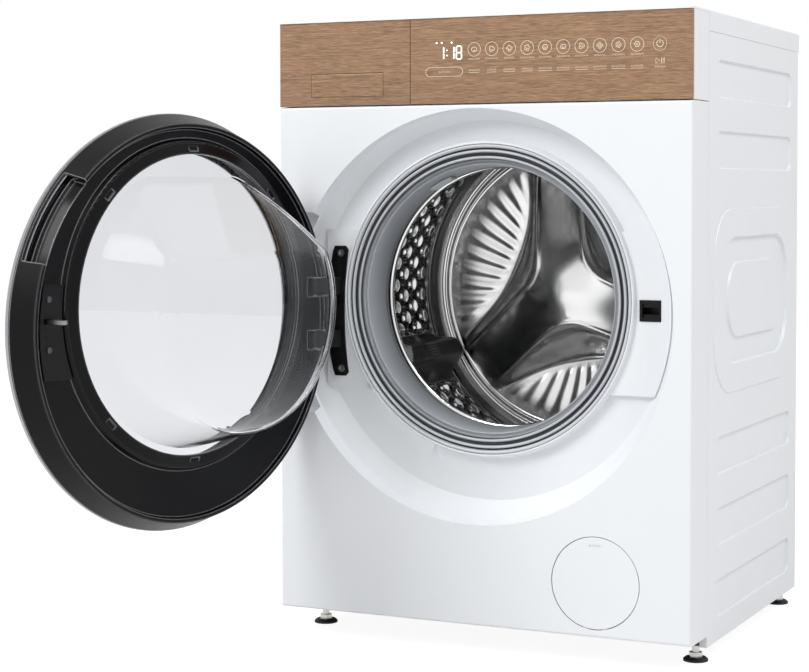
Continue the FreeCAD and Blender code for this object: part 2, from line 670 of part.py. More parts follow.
def console_fascia():
    """Wood-grained plate with the keys; its left end stops at the drawer."""
    body = Body("console_fascia")
    pad_box(body, "front", 0.0, d.fascia_split + d.split_gap / 2, half_w, d.console_low, d.console_high, d.fascia_t)
    body.round_edges(0.6, lambda edge: all(abs(v.Point.y) < 0.01 for v in edge.Vertexes))


def key_marks():
    """Printed rings of the touch keys and the outlines beside them, slightly proud."""
    body = Body("key_marks")
    ring = pad_disc(body, "front", -d.mark_t, d.key_rad, d.mark_t, True, d.key_first, d.key_z,
                    d.key_rad - d.key_line)
    body.linear([ring], "X_Axis", d.key_pitch * (d.key_count - 1.0), int(d.key_count.value))
    pill = body.sketch("front", -d.mark_t)
    for inset in (size(0.0), d.key_line):
        box_outline(pill, d.pill_left + inset, d.pill_right - inset, d.pill_z - d.pill_half + inset,
                    d.pill_z + d.pill_half - inset, d.pill_half - inset - 0.1)
    body.pad(pill, d.mark_t)
    power = body.sketch("front", -d.mark_t)
    band_outline(power, 4.3, 5.4, (118.0, 220.0, 320.0, 422.0), d.power_x, d.power_z)
    box_outline(power, d.power_x - 0.5, d.power_x + 0.5, d.power_z + 1.2, d.power_z + 6.6)
    body.pad(power, d.mark_t)
    play = body.sketch("front", -d.mark_t)
    outline(play, [(d.power_x - 6.0, d.play_z - 4.0), (d.power_x + 0.6, d.play_z), (d.power_x - 6.0, d.play_z + 4.0)])
    for x in (2.2, 4.9):
        box_outline(play, d.power_x + x, d.power_x + x + 1.2, d.play_z - 4.0, d.play_z + 4.0)
    body.pad(play, d.mark_t)


SEGMENTS = {"1": "bc", "8": "abcdefg"}


def display_digits():
    """Clock figures made of bars."""
    body = Body("display_digits")
    high, wide, line = d.digit_high / 2, d.digit_wide, d.digit_line
    bars = {
        "a": (0.0, wide, high - line, high), "d": (0.0, wide, -high, line - high),
        "g": (0.0, wide, -line / 2, line / 2), "b": (wide - line, wide, line / 2 + 0.3, high - line - 0.3),
        "c": (wide - line, wide, line - high + 0.3, -line / 2 - 0.3),
        "f": (0.0, line, line / 2 + 0.3, high - line - 0.3), "e": (0.0, line, line - high + 0.3, -line / 2 - 0.3),
    }
    sk = body.sketch("front", -d.mark_t)
    for figure, x in (("1", -57.0), ("1", -45.5), ("8", -33.5)):
        for name in SEGMENTS[figure]:
            x_low, x_high, z_low, z_high = bars[name]
            box_outline(sk, x + x_low, x + x_high, d.digit_z + z_low, d.digit_z + z_high)
    for z in (-3.4, 3.4):
        box_outline(sk, -44.6, -43.0, d.digit_z + z - 0.8, d.digit_z + z + 0.8)
    for x in (-65.5, -57.0, -40.0):
        circle(sk, 1.6, x, d.digit_z + 15.0)
    body.pad(sk, d.mark_t)


def drawer_parts():
    """Detergent drawer: front with its grip opening, tray with three wells, siphon cap, hinged grip flap."""
    front = Body("drawer_front")
    pad_box(front, "front", 0.0, -half_w, d.fascia_split - d.split_gap / 2, d.console_low, d.console_high, d.fascia_t)
    front.round_edges(0.6, lambda edge: all(abs(v.Point.y) < 0.01 for v in edge.Vertexes))
    pad_box(front, "front", d.fascia_t, d.tray_left, d.tray_right, d.tray_low, d.tray_high, d.tray_front - d.fascia_t)
    cut_box(front, "front", 0.0, d.grip_left, d.grip_right, d.grip_low, d.grip_high, d.grip_d)
    axis_z = d.grip_high - d.grip_gap - d.flap_t / 2
    for x in (d.grip_left - d.flap_pin_in - 0.2, d.grip_right):
        cut_disc(front, "side", x, d.flap_pin + d.flap_pin_fit, d.flap_pin_in + 0.2, True, d.flap_t / 2, axis_z)

    flap = Body("drawer_grip_flap", y=d.flap_t / 2, z=axis_z)
    low = d.grip_low + d.grip_gap - axis_z
    half = d.flap_t / 2
    left, right = d.grip_left + d.grip_gap, d.grip_right - d.grip_gap
    sk = flap.sketch("side", left)
    outline(sk, [(-half, low), (half, low), (half, 0.0), (0.0, half, half, 1), (-half, 0.0, half, 1)])
    flap.pad(sk, right - left)
    for start in (left - d.flap_pin_in, right):
        pad_disc(flap, "side", start, d.flap_pin, d.flap_pin_in)

    tray = Body("drawer_tray")
    t = d.tray_t
    pad_box(tray, "top", d.tray_low, d.tray_left, d.tray_right, d.tray_front, d.tray_back, d.tray_high - d.tray_low)
    third = (d.tray_right - d.tray_left - 4.0 * t) / 3
    for i in range(3):
        x_low = d.tray_left + t + (third + t) * float(i)
        floor = d.tray_low + t + (10.0 if i == 1 else 0.0)
        cut_box(tray, "top", floor, x_low, x_low + third, d.tray_front + t, d.tray_back - t, d.tray_high - floor,
                True, 6.0)
    cap = Body("siphon_cap")
    mid = (d.tray_left + d.tray_right) / 2
    pad_box(cap, "top", d.tray_high - 34.0, mid - 16.0, mid + 16.0, d.tray_back - 92.0, d.tray_back - 30.0, 4.0, True,
            8.0)
    pad_disc(cap, "top", d.tray_low + t + 10.2, 5.0, d.tray_high - 34.0 - d.tray_low - t - 10.0, True, mid,
             d.tray_back - 60.0)


def dispenser_housing():
    """Open-fronted box the drawer runs in."""
    body = Body("dispenser_housing")
    gap, t = d.housing_gap, d.housing_t
    x_low, x_high, z_low, z_high = d.tray_left - gap, d.tray_right + gap, d.tray_low - gap, d.tray_high + gap
    start = d.fascia_t + 0.2 + d.console_wall
    pad_box(body, "front", start, x_low - t, x_high + t, z_low - t, z_high + t, d.housing_back - start)
    cut_box(body, "front", start, x_low, x_high, z_low, z_high, d.housing_back - start - t)


def gasket():
    """Rubber bellows between the collar and the neck of the tub."""
    out = d.seal_out
    tube = d.seal_tube
    neck = d.neck_in + d.neck_t
    turned("gasket", [
        (d.seal_front + 1.5, out), (d.seal_front, out - 2.2, 1.6, 1), (d.seal_front + 1.5, out - 4.4, 2.0, 1),
        (37.0, out - 5.6), (37.0, out - 8.4), (31.0, out - 10.4), (29.6, out - 12.4, 2.2, 1), (31.0, out - 14.6),
        (36.0, out - 18.6), (37.0, out - 21.0), (35.6, out - 23.0), (39.0, tube + 4.6), (50.0, tube + 0.8),
        (66.0, tube), (d.seal_end, tube - 1.0), (d.seal_end + 1.4, tube + 1.4, 1.6, 1), (64.0, tube + 4.0),
        (53.0, tube + 8.4), (50.0, tube + 15.0), (53.0, tube + 20.0, 6.0, -1), (66.0, neck + 1.2), (72.0, neck + 0.2),
        (90.0, neck + 0.2), (90.0, neck + 3.4), (74.0, neck + 3.6), (64.0, neck + 8.0), (55.0, out - 3.0),
        (54.0, out + 3.0), (50.4, out + 3.0), (50.4, out),
    ])
    nozzle = Body("spray_nozzle", z=d.drum_z)
    sk = nozzle.sketch("front", 60.0)
    band_outline(sk, tube - 4.2, tube - 0.9, (112.0, 123.0))
    nozzle.pad(sk, 22.0)


def tub():
    """Two tub halves, the bearings, the shaft seal, the weights and the suspension."""
    t, inner = d.tub_t, d.tub_in
    front, back, split = d.tub_front, d.tub_back, d.tub_split
    neck_out = d.neck_in + d.neck_t
    turned("tub_front", [
        (d.neck_front, d.neck_in), (front + t, d.neck_in), (front + t, inner - 12.0), (front + t + 12.0, inner),
        (split, inner), (split, inner + t + 6.0), (split - 5.0, inner + t + 6.0), (split - 5.0, inner + t),
        (front + 10.0, inner + t), (front, inner - 10.0), (front, neck_out), (d.neck_front, neck_out),
    ])
    rear = turned("tub_rear", [
        (split, inner), (back - 12.0, inner), (back, inner - 12.0), (back, d.bearing_rad - 4.0),
        (back + 2.0, d.bearing_rad - 4.0), (back + 2.0, d.bearing_rad + 0.05),
        (back + 2.0 + d.bearing_t, d.bearing_rad + 0.05), (back + 2.0 + d.bearing_t, d.bearing_rad - 4.0),
        (d.hub_back - d.bearing_t, d.bearing_rad - 4.0), (d.hub_back - d.bearing_t, d.bearing_rad + 0.05),
        (d.hub_back, d.bearing_rad + 0.05), (d.hub_back, d.hub_rad), (back + t, d.hub_rad + 6.0),
        (back + t, inner - 10.0), (back - 10.0, inner + t), (split + 5.0, inner + t), (split + 5.0, inner + t + 6.0),
        (split, inner + t + 6.0),
    ])
    fin = rear.sketch("side", -3.0)
    outline(fin, [(back + t - 1.0, d.hub_rad + 2.0), (back + t + 18.0, d.hub_rad - 1.0), (back + t + 12.0, 150.0),
                  (back + t - 1.0, 240.0)])
    ribs = rear.pad(fin, 6.0)
    rear.polar([ribs], "Y_Axis", 8)
    bearings = Body("shaft_bearings", z=d.drum_z)
    bore = d.shaft_rad + d.shaft_fit
    for start in (back + 2.0, d.hub_back - d.bearing_t):
        sk = bearings.sketch("side")
        outline(sk, [(start + 0.1, bore), (start + d.bearing_t - 0.1, bore),
                     (start + d.bearing_t - 0.1, d.bearing_rad), (start + 0.1, d.bearing_rad)])
        bearings.revolve(sk)
    turned("stator", [
        (back + t + 20.0, d.hub_rad + 4.0), (d.rotor_front - 2.0, d.stator_rad), (d.rotor_back - 8.0, d.stator_rad),
        (d.rotor_back - 8.0, d.stator_rad - 26.0), (d.rotor_front + 2.0, d.stator_rad - 26.0),
        (d.rotor_front - 4.0, d.hub_rad + 4.0),
    ])
    for name, begin, finish in (("counterweight_upper", 15.0, 165.0), ("counterweight_lower", 195.0, 345.0)):
        weight = Body(name, z=d.drum_z)
        sk = weight.sketch("front", d.weight_front)
        band_outline(sk, d.weight_in, d.weight_out, (begin, finish))
        weight.pad(sk, front - 0.4 - d.weight_front)
    for name, sign in (("damper_left", -1.0), ("damper_right", 1.0)):
        damper = Body(name, x=d.damper_x * sign, y=d.damper_y, z=d.base_high + 12.0, turn=d.damper_lean * -sign,
                      axis=ALONG_Y)
        sk = damper.sketch("side")
        outline(sk, [(0.0, 0.0), (16.0, 0.0), (16.0, 110.0), (6.0, 112.0), (6.0, 184.0), (0.0, 184.0)])
        damper.revolve(sk, "V_Axis")


def star_outline(sk, tip_half, joint, joint_half, bend):
    """Three arms with straight flanks, joined by hollow arcs; angles are half widths in degrees."""
    corners = []
    for i in range(3):
        middle = 120.0 * i
        for radius, angle, arc in ((d.star_tip, -tip_half, ()), (d.star_tip, tip_half, (d.star_tip, 1)),
                                   (joint, joint_half, ()), (joint, 120.0 - joint_half, (bend, -1))):
            corners.append((polar_x(radius, middle + angle), polar_y(radius, middle + angle), *arc))
    outline(sk, corners)


def drum():
    """Spinning drum: shell, front ring, star-ribbed back, lifters, spider, shaft and rotor."""
    t, r = d.drum_t, d.drum_rad
    side, end, bead = d.drum_side, d.drum_side_end, d.bead_d
    inner = [(side, 0.0), (end - 34.0, 0.0), (end - 30.0, bead), (end - 24.0, bead), (end - 20.0, 0.0),
             (end - 16.0, 0.0), (end - 12.0, bead), (end - 6.0, bead), (end - 2.0, 0.0), (end, 0.0)]
    turned("drum_shell", [(y, r - dip) for y, dip in inner] + [(y, r + t - dip) for y, dip in reversed(inner)])
    mouth = d.mouth_rad
    turned("drum_front_ring", [
        (side, r), (side - 6.0, r - 1.0), (d.drum_front + 4.0, r - 22.0, 24.0, 1), (d.drum_front + 3.0, mouth + 8.0),
        (d.drum_front + 7.0, mouth + 2.0), (d.drum_front + 5.0, mouth), (d.drum_front, mouth + 4.0, 4.4, -1),
        (d.drum_front, r - 20.0), (side - 8.0, r + t, 26.0, -1), (side, r + t),
    ])
    back = d.drum_back_y
    plate = turned("drum_back", turn=-d.star_turn, corners=[
        (back, 0.0), (back, d.back_rad), (end + 12.0, r - 8.0, 20.0, 1), (end, r), (end, r + t),
        (end + 13.0, r - 7.0), (back + t, d.back_rad, 21.0, -1), (back + t, 0.0),
    ])
    foot = plate.sketch("front", back + 0.5)
    star_outline(foot, 6.1, 120.0, 19.5, 241.9)
    crest = plate.sketch("front", d.star_level - 4.0)
    star_outline(crest, 2.2, 90.0, 12.8, 161.1)
    plate.loft([foot, crest])
    dome = plate.sketch("side")
    outline(dome, [
        (d.star_level - 10.0, 0.0), (d.star_level, 0.0), (d.star_level + 2.0, d.star_hub),
        (d.star_level + 14.0, d.star_hub * 1.9), (back - d.star_fall, d.star_tip + 4.0),
        (d.star_level - 10.0, d.star_tip + 4.0),
    ])
    plate.revolve(dome, cut=True)
    for i in range(3):
        lifter(f"lifter_{i + 1}", d.lifter_turn + 120.0 * float(i))
    spider = Body("drum_spider", z=d.drum_z, turn=-(d.star_turn + 60.0), axis=ALONG_Y)
    start = back + t + 0.4
    pad_disc(spider, "front", start, 40.0, d.spider_t, True)
    arm = pad_box(spider, "front", start, 0.0, r - 14.0, -d.spider_w / 2, d.spider_w / 2, d.spider_t)
    spider.polar([arm], "Y_Axis", 3)
    turned("drum_shaft", [(start + d.spider_t, 0.0), (start + d.spider_t, d.shaft_rad), (d.shaft_end, d.shaft_rad),
                          (d.shaft_end, 0.0)])
    turned("motor_rotor", [
        (d.rotor_back - 3.0, d.shaft_rad + 0.02), (d.rotor_back - 3.0, d.rotor_rad - 5.0),
        (d.rotor_front, d.rotor_rad - 5.0), (d.rotor_front, d.rotor_rad), (d.rotor_back, d.rotor_rad),
        (d.rotor_back, 24.0), (d.rotor_back + 10.0, 22.0), (d.rotor_back + 10.0, d.shaft_rad + 0.02),
    ])


def lifter(name, angle):
    """Finned paddle fixed inside the drum wall; its length runs along Y."""
    body = Body(name, z=d.drum_z, turn=-angle, axis=ALONG_Y)
    r = d.drum_rad
    sections = []
    for y, lift, half in ((d.lifter_front, 0.25, 0.9), (d.lifter_front + 26.0, 0.94, 1.0),
                          (d.lifter_end - 26.0, 1.0, 1.0), (d.lifter_end, 0.5, 0.9)):
        sk = body.sketch("front", y)
        top = r - d.lifter_high * lift
        wide, crest = d.lifter_base * half, d.lifter_top * half
        foot_x = root(r - 0.4, wide)
        outline(sk, [(foot_x, -wide), (foot_x, wide, r - 0.4, 1), (top, crest), (top, -crest)])
        sections.append(sk)
    body.loft(sections)
    near, far, dip = d.drum_side_end - 34.0, d.drum_side_end - 20.0, r - d.bead_d - 0.4
    groove = body.sketch("side")
    outline(groove, [(near - 1.0, r + 1.0), (near - 1.0, r - 0.3), (near + 3.6, dip), (far - 3.6, dip),
                     (far + 0.6, r - 0.3), (far + 0.6, r + 1.0)])
    body.revolve(groove, cut=True)
    return body


def door_body(name, centre_z):
    """A body whose own Y axis is the axis of the open door's rings, at the given height."""
    return Body(name, d.hinge_x + polar_x(d.door_reach, d.door_open), d.hinge_y - polar_y(d.door_reach, d.door_open),
                centre_z, -d.door_open)


def door_parts():
    """Bezel, window, inner frame, glass bowl, latch plate, latch pin and hinge pin of the door."""
    reach, rise = d.door_reach, d.glass_z - d.door_z
    face, back = -d.bezel_face, -d.frame_back
    window_z = rise * 0.6
    bezel = door_body("door_bezel", d.door_z)
    sk = bezel.sketch("side")
    outline(sk, [
        (back - 0.2, d.bezel_rad), (back - 4.0, d.bezel_rad), (face + 2.5, d.bezel_rad - 3.4, 8.0, 1),
        (face, d.bezel_rad - 9.8, 11.0, 1), (face, 100.0), (face + 7.0, 100.0), (face + 7.0, d.bezel_rad - 9.0),
        (back - 0.2, d.bezel_rad - 5.0),
    ])
    bezel.revolve(sk)
    cut_disc(bezel, "front", face, d.window_rad + 0.2, d.window_t + 0.2, True, 0.0, window_z)
    cut_disc(bezel, "front", face, d.window_rad - 7.0, 12.0, True, 0.0, window_z)
    window = door_body("door_window", d.door_z)
    pad_disc(window, "front", face, d.window_rad, d.window_t, True, 0.0, window_z)

    frame = door_body("door_frame", d.door_z)
    t = d.wall_t
    sk = frame.sketch("side")
    outline(sk, [
        (back, d.frame_out), (d.frame_face - 1.0, d.frame_rim + 0.4), (d.frame_face - 0.3, d.frame_rim - 0.2),
        (d.frame_face, d.frame_rim - 1.0),
        (d.frame_face, d.land_in), (d.flat_level, d.flat_out), (d.flat_level, 150.0), (d.flat_level - t, 150.0),
        (d.flat_level - t, d.frame_rim - 0.3), (back, d.frame_out - 3.2),
    ])
    frame.revolve(sk)
    blocks = (
        (d.land_in - 21.5, d.frame_rim + 0.6, (-14.0 + 180.0, 14.0 + 180.0), back),
        (d.flat_in + 3.0, d.land_in, (-2.0, 9.0), d.hook_pivot_w - 9.0),
        (d.scoop_in - 4.0, d.frame_rim + 0.6, (d.scoop_from - 1.5, d.scoop_to + 1.5), back + 2.0),
    )
    for inner, outer, angles, start in blocks:
        sk = frame.sketch("front", start)
        band_outline(sk, inner, outer, angles)
        frame.pad(sk, d.flat_level - 1.0 - start)
    cut_disc(frame, "front", back, d.wall_rad + t - 0.5, 60.0, True, 0.0, rise)
    sk = frame.sketch("side")
    lip = d.bowl_seat + 0.2
    outline(sk, [
        (d.flat_level - t, rise + d.flat_in), (d.flat_level, rise + d.flat_in),
        (d.bead_level - 1.6, rise + d.bead_rad + 3.4), (d.bead_level, rise + d.bead_rad, 4.0, -1),
        (d.lip_level, rise + d.lip_rad + 1.6), (d.lip_level, rise + d.lip_rad), (lip, rise + d.lip_rad),
        (lip, rise + d.wall_rad), (back, rise + d.wall_rad), (back, rise + d.wall_rad + t),
        (d.flat_level - t, rise + d.wall_rad + t),
    ])
    line = sk.addGeometry(Part.LineSegment(V(0, rise.value, 0), V(10, rise.value, 0)), True)
    pin_point(sk, line, 1, 0.0, rise)
    pin_point(sk, line, 2, 10.0, rise)
    frame.revolve(sk, "Axis0")
    scoop = frame.sketch("side")
    scoop.AttachmentOffset = FreeCAD.Placement(V(0, 0, 0), FreeCAD.Rotation(V(1, 0, 0), 90.0 - d.scoop_to.value))
    bind(scoop, "AttachmentOffset.Rotation.Angle", 90.0 - d.scoop_to)
    outline(scoop, [(d.frame_face + 8.0, d.scoop_in), (d.frame_face, d.scoop_in), (d.scoop_deep, d.scoop_ridge),
                    (back + 3.0, d.frame_out + 0.4), (back + 3.0, d.frame_out + 8.0), (d.frame_face + 8.0, d.frame_out + 8.0)])
    frame.revolve(scoop, cut=True, angle=d.scoop_to - d.scoop_from)
    for z in (d.arm_high - d.door_z, d.arm_low - d.door_z):
        half = d.arm_half + d.arm_gap
        cut_box(frame, "front", -d.barrel_rad - 1.5, -reach - 30.0, -reach + 22.0, z - half, z + half, 40.0)
    cut_disc(frame, "top", -d.pin_half, d.pin_rad, d.pin_half * 2, True, -reach, 0.0)
    hook_x, hook_z = d.latch_u - reach, d.latch_z - d.door_z
    cut_box(frame, "front", d.hook_pivot_w - 7.0, hook_x - 7.0, hook_x + 7.0, hook_z - d.hook_slot / 2,
            hook_z + d.hook_slot / 2, 40.0)
    cut_disc(frame, "top", hook_z - 9.0, d.hook_pivot_rad, 18.0, True, hook_x, d.hook_pivot_w)
    for angle in (45.0, 90.0, 135.0, 225.0, 270.0, 315.0):
        sk = frame.sketch("front", d.lip_level - 2.8)
        band_outline(sk, d.lip_rad + 4.0, d.lip_rad + 14.0, (angle - 2.2, angle + 2.2), 0.0, rise)
        frame.pocket(sk, 6.0)


def glass_bowl():
    """Clear bowl of the door with its sloped upper side; its flange sits behind the lip of the frame."""
    start, end = d.bowl_seat - d.bowl_t, d.bowl_end_w
    fall = (d.slope_root - d.slope_end) / (end - d.bowl_seat)
    skin = door_body("bowl_skin", d.glass_z)
    core = door_body("bowl_core", d.glass_z)
    for body, shrink, low in ((skin, size(0.0), start), (core, d.bowl_t, start - 1.0)):
        sk = body.sketch("side")
        turn_r, tip = d.bowl_turn - shrink, end - shrink
        outline(sk, [(low, 0.0), (low, d.bowl_root + 2.0 - shrink), (d.bowl_turn_w, turn_r),
                     (tip - 3.0, turn_r - 24.0, 22.0, -1), (tip - 3.0, 0.0)])
        body.revolve(sk)
        level = d.slope_root - shrink * across(1.0, fall)
        ends = (d.bowl_seat - 40.0, end + 40.0)
        wedge = body.sketch("side", -d.bowl_flange - 20.0)
        outline(wedge, [(y, level - fall * (y - d.bowl_seat)) for y in ends]
                + [(ends[1], d.bowl_flange * 2), (ends[0], d.bowl_flange * 2)])
        body.pocket(wedge, d.bowl_flange * 2 + 40.0)
        steep, rise, foot = fall.value, level.value, low.value

        def on_slope(edge):
            gaps = [abs(v.Point.z - rise + steep * (v.Point.y - d.bowl_seat.value)) for v in edge.Vertexes]
            return max(gaps) < 0.01 and max(v.Point.y for v in edge.Vertexes) > foot + 0.1

        body.round_edges(d.slope_round - shrink, on_slope)
    pad_disc(skin, "front", start, d.bowl_flange, d.bowl_t)
    minus("glass_bowl", skin, core)


def latch_parts():
    """Latch plate and its screws, sprung hook and its pin, all on the door."""
    plate = door_body("latch_plate", d.door_z)
    hook_x, hook_z = d.latch_u - d.door_reach, d.latch_z - d.door_z
    sk = plate.sketch("front", d.flat_level)
    high, low, rise = d.latch_high - d.door_z, d.latch_low - d.door_z, d.glass_z - d.door_z
    inner, outer = d.flat_in + 0.4, d.flat_out - 0.6
    outline(sk, [(root(inner, low - rise), low, inner, -1), (root(outer, low), low),
                 (root(outer, high), high, outer, 1), (root(inner, high - rise), high)])
    plate.pad(sk, d.frame_face - d.flat_level)
    cut_box(plate, "front", d.flat_level, hook_x - 7.0, hook_x + 7.0, hook_z - d.hook_slot / 2,
            hook_z + d.hook_slot / 2, 10.0)
    screws = door_body("latch_screws", d.door_z)
    for z in (488.4, 427.9):
        pad_disc(screws, "front", d.frame_face, 3.6, 1.6, True, hook_x, z - d.door_z)
        cut_box(screws, "front", d.frame_face + 0.8, hook_x - 2.4, hook_x + 2.4, z - d.door_z - 0.5,
                z - d.door_z + 0.5, 2.0)
    pin = door_body("latch_pin", d.door_z)
    pad_disc(pin, "top", hook_z - 9.0, d.hook_pivot_rad, 18.0, True, hook_x, d.hook_pivot_w)

    turn = d.door_open
    x = d.hinge_x + polar_x(d.latch_u, turn) + polar_y(d.hook_pivot_w, turn)
    y = d.hinge_y - polar_y(d.latch_u, turn) + polar_x(d.hook_pivot_w, turn)
    hook = Body("latch_hook", x, y, d.latch_z - d.hook_t / 2, -turn)
    half, tip = d.hook_half, d.hook_tip_w - d.hook_pivot_w
    sk = hook.sketch("top")
    outline(sk, [(-half, -5.0), (half, -5.0), (half, tip - 2.0), (half - 2.0, tip), (0.0, tip), (-8.0, tip - 7.0),
                 (-8.0, tip - 9.0), (-half, tip - 9.0)])
    circle(sk, d.hook_pivot_rad + d.pin_fit)
    hook.pad(sk, d.hook_t)


def hinge_parts():
    """Plate and arms on the cabinet, the pin in the door, the plate's screws."""
    pin = door_body("hinge_pin", d.door_z)
    pad_disc(pin, "top", -d.pin_half, d.pin_rad, d.pin_half * 2, True, -d.door_reach, 0.0)

    plate = Body("hinge_plate")
    face = d.pad_level - d.plate_t
    high, low = d.plate_high, d.plate_low
    sk = plate.sketch("front", face)
    outline(sk, [
        (d.plate_right - 4.0, low), (d.plate_right, low + 5.0), (d.plate_right, high - 5.0, 560.0, -1),
        (d.plate_right - 4.0, high), (d.plate_left - 2.0, high), (d.plate_left - 5.0, high - 8.0),
        (d.plate_left - 10.0, high - 34.0), (d.plate_left - 10.0, low + 30.0), (d.plate_left - 5.0, low + 8.0),
        (d.plate_left - 2.0, low),
    ])
    plate.pad(sk, d.plate_t)
    for z in (d.arm_low, d.arm_high):
        sk = plate.sketch("top", z - d.arm_half)
        outline(sk, [(d.plate_left - 10.0, face + 1.0), (d.hinge_x - 6.4, d.hinge_y + 4.4),
                     (d.hinge_x + 6.4, d.hinge_y - 4.4), (d.plate_left + 8.0, face + 1.0)])
        plate.pad(sk, d.arm_half * 2)
        pad_disc(plate, "top", z - d.arm_half, d.barrel_rad, d.arm_half * 2, True, d.hinge_x, d.hinge_y)
    cut_disc(plate, "top", d.arm_low - d.arm_half, d.pin_rad + d.pin_fit, d.arm_high - d.arm_low + d.arm_half * 2,
             True, d.hinge_x, d.hinge_y)
    screws = Body("hinge_screws")
    for x, z in ((d.plate_left + 8.0, high - 10.0), (d.plate_left + 8.0, low + 10.0)):
        cut_disc(plate, "front", face, d.screw_rad, d.plate_t, True, x, z)
        pad_disc(screws, "front", face - d.screw_head_t, d.screw_head, d.screw_head_t, True, x, z)
        pad_disc(screws, "front", face, d.screw_rad, d.plate_t, True, x, z)
        sk = screws.sketch("front", face - d.screw_head_t)
        outline(sk, [(x + polar_x(2.4, 60.0 * i), z + polar_y(2.4, 60.0 * i)) for i in range(6)])
        screws.pocket(sk, 1.4)


def door_lock():
    """Lock block with the slot that takes the hook."""
    body = Body("door_lock")
    face = d.pad_level - d.lock_proud
    w, h = d.lock_half_w, d.lock_half_z
    pad_box(body, "front", face, d.lock_x - w, d.lock_x + w, d.latch_z - h, d.latch_z + h, d.lock_d, True, 2.5)
    body.round_edges(0.8, lambda edge: all(abs(v.Point.y - face.value) < 0.01 for v in edge.Vertexes))
    cut_box(body, "front", face, d.lock_x - 10.5, d.lock_x + 12.5, d.latch_z - 4.5, d.latch_z + 4.5, 22.0)
    cut_box(body, "front", face, d.lock_x - 10.5, d.lock_x - 7.5, d.latch_z - 9.0, d.latch_z + 9.0, 3.0)


def service_parts():
    """Hinged filter cover, turning filter, pump, and the fittings on the back."""
    cover = Body("filter_cover", x=d.cap_x, z=d.cap_z - d.cap_rad)
    pad_disc(cover, "front", 0.0, d.cap_rad, d.cap_t, True, 0.0, d.cap_rad)
    cover.round_edges(d.cap_round, lambda edge: all(abs(v.Point.y) < 0.01 for v in edge.Vertexes))
    cut_box(cover, "front", 0.0, -8.5, 8.5, d.cap_rad + 47.0, d.cap_rad + 50.0, 1.4, True, 1.4)
    behind = d.front_t + d.cap_hook_gap
    for x in (-d.cap_hook_x, d.cap_hook_x):
        x_low, x_high = x - d.cap_hook_w / 2, x + d.cap_hook_w / 2
        pad_box(cover, "front", behind, x_low, x_high, -d.cap_hook_low, d.cap_hook_high, d.cap_hook_t)
    cx, cz = d.cap_x, d.cap_z
    turned("pump_filter", [
        (d.filter_front + 8.0, 0.0), (d.filter_front + 8.0, d.filter_rad - 4.0), (d.filter_front, d.filter_rad - 3.0),
        (d.filter_front, d.filter_rad), (d.filter_back, d.filter_rad), (d.filter_back, 0.0)], cz, cx)
    knob = BODIES[-1]
    pad_box(knob, "front", d.filter_front - 4.0, -d.filter_rad + 3.5, d.filter_rad - 3.5, -3.0, 3.0, 13.0)
    sleeve = d.filter_rad + d.filter_gap
    turned("drain_pump", [
        (d.filter_front + 4.0, sleeve), (d.filter_back + 1.0, sleeve), (d.filter_back + 1.0, 0.0), (d.pump_back, 0.0),
        (d.pump_back, 24.0), (d.filter_back + 42.0, 24.0), (d.filter_back + 42.0, 44.0), (d.filter_back + 8.0, 44.0),
        (d.filter_back + 4.0, sleeve + 4.0), (d.filter_front + 4.0, sleeve + 4.0)], cz, cx)
    pump = BODIES[-1]
    pad_box(pump, "top", d.base_high - cz, -20.0, 20.0, d.filter_back + 44.0, d.filter_back + 54.0,
            cz - d.base_high - 10.0)
    pad_box(pump, "top", d.base_high - cz, -36.0, 36.0, d.filter_back + 12.0, d.filter_back + 38.0, 30.0)
    back = d.side_back
    turned("inlet_valve", [
        (back - 34.0, 0.0), (back - 34.0, 17.0), (back + 0.2, 17.0), (back + 0.2, d.valve_rad - 1.0),
        (back + 3.0, d.valve_rad - 1.0), (back + 3.0, d.valve_rad), (d.cover_back - 2.0, d.valve_rad),
        (d.cover_back - 2.0, 8.5), (back - 8.0, 8.5), (back - 8.0, 0.0)],
        d.valve_z, d.valve_x)
    turned("drain_outlet", [
        (back - 20.0, 9.0), (back - 20.0, 15.0), (back - 2.0, 15.0), (back - 2.0, 11.0), (back + 3.0, 11.0),
        (back + 3.0, 11.5), (d.cover_back - 3.0, 11.5), (d.cover_back - 3.0, 9.0)], d.drain_z, d.drain_x)
    turned("mains_gland", [
        (back - 6.0, 4.0), (back - 6.0, 11.0), (back - 0.6, 11.0), (back - 0.6, 8.0), (back + 9.0, 8.0),
        (back + 11.0, 6.5), (back + 11.0, 4.0)], d.gland_z, d.gland_x)


def build():
    side_panel("side_panel_right", 1)
    side_panel("side_panel_left", -1)
    rear_panel()
    top_cover()
    base_tray()
    for tag, x, y in feet_spots():
        foot(tag, x, y)
    front_panel()
    console_frame()
    console_fascia()
    key_marks()
    display_digits()
    drawer_parts()
    dispenser_housing()
    gasket()
    tub()
    drum()
    door_parts()
    glass_bowl()
    latch_parts()
    hinge_parts()
    door_lock()
    service_parts()
    doc.recompute()


def write_parts():
    """Check every object, then write one file per sub-part."""
    for thing in doc.Objects:
        if any(word in str(thing.State) for word in ("Invalid", "Error")):
            raise RuntimeError(f"{thing.Name} did not compute: {thing.State}")
    os.makedirs("parts", exist_ok=True)
    for item in BODIES:
        shape = item.body.Shape
        if shape.isNull() or not shape.isValid() or not shape.Solids:
            raise RuntimeError(f"{item.body.Label} has no valid solid")
        shape.exportStep(f"parts/{item.body.Label}.step")


build()
write_parts()
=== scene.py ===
"""Front load washing machine: its looks, built around the fixed frame and laid out as a Blender add-on."""
import json
import math

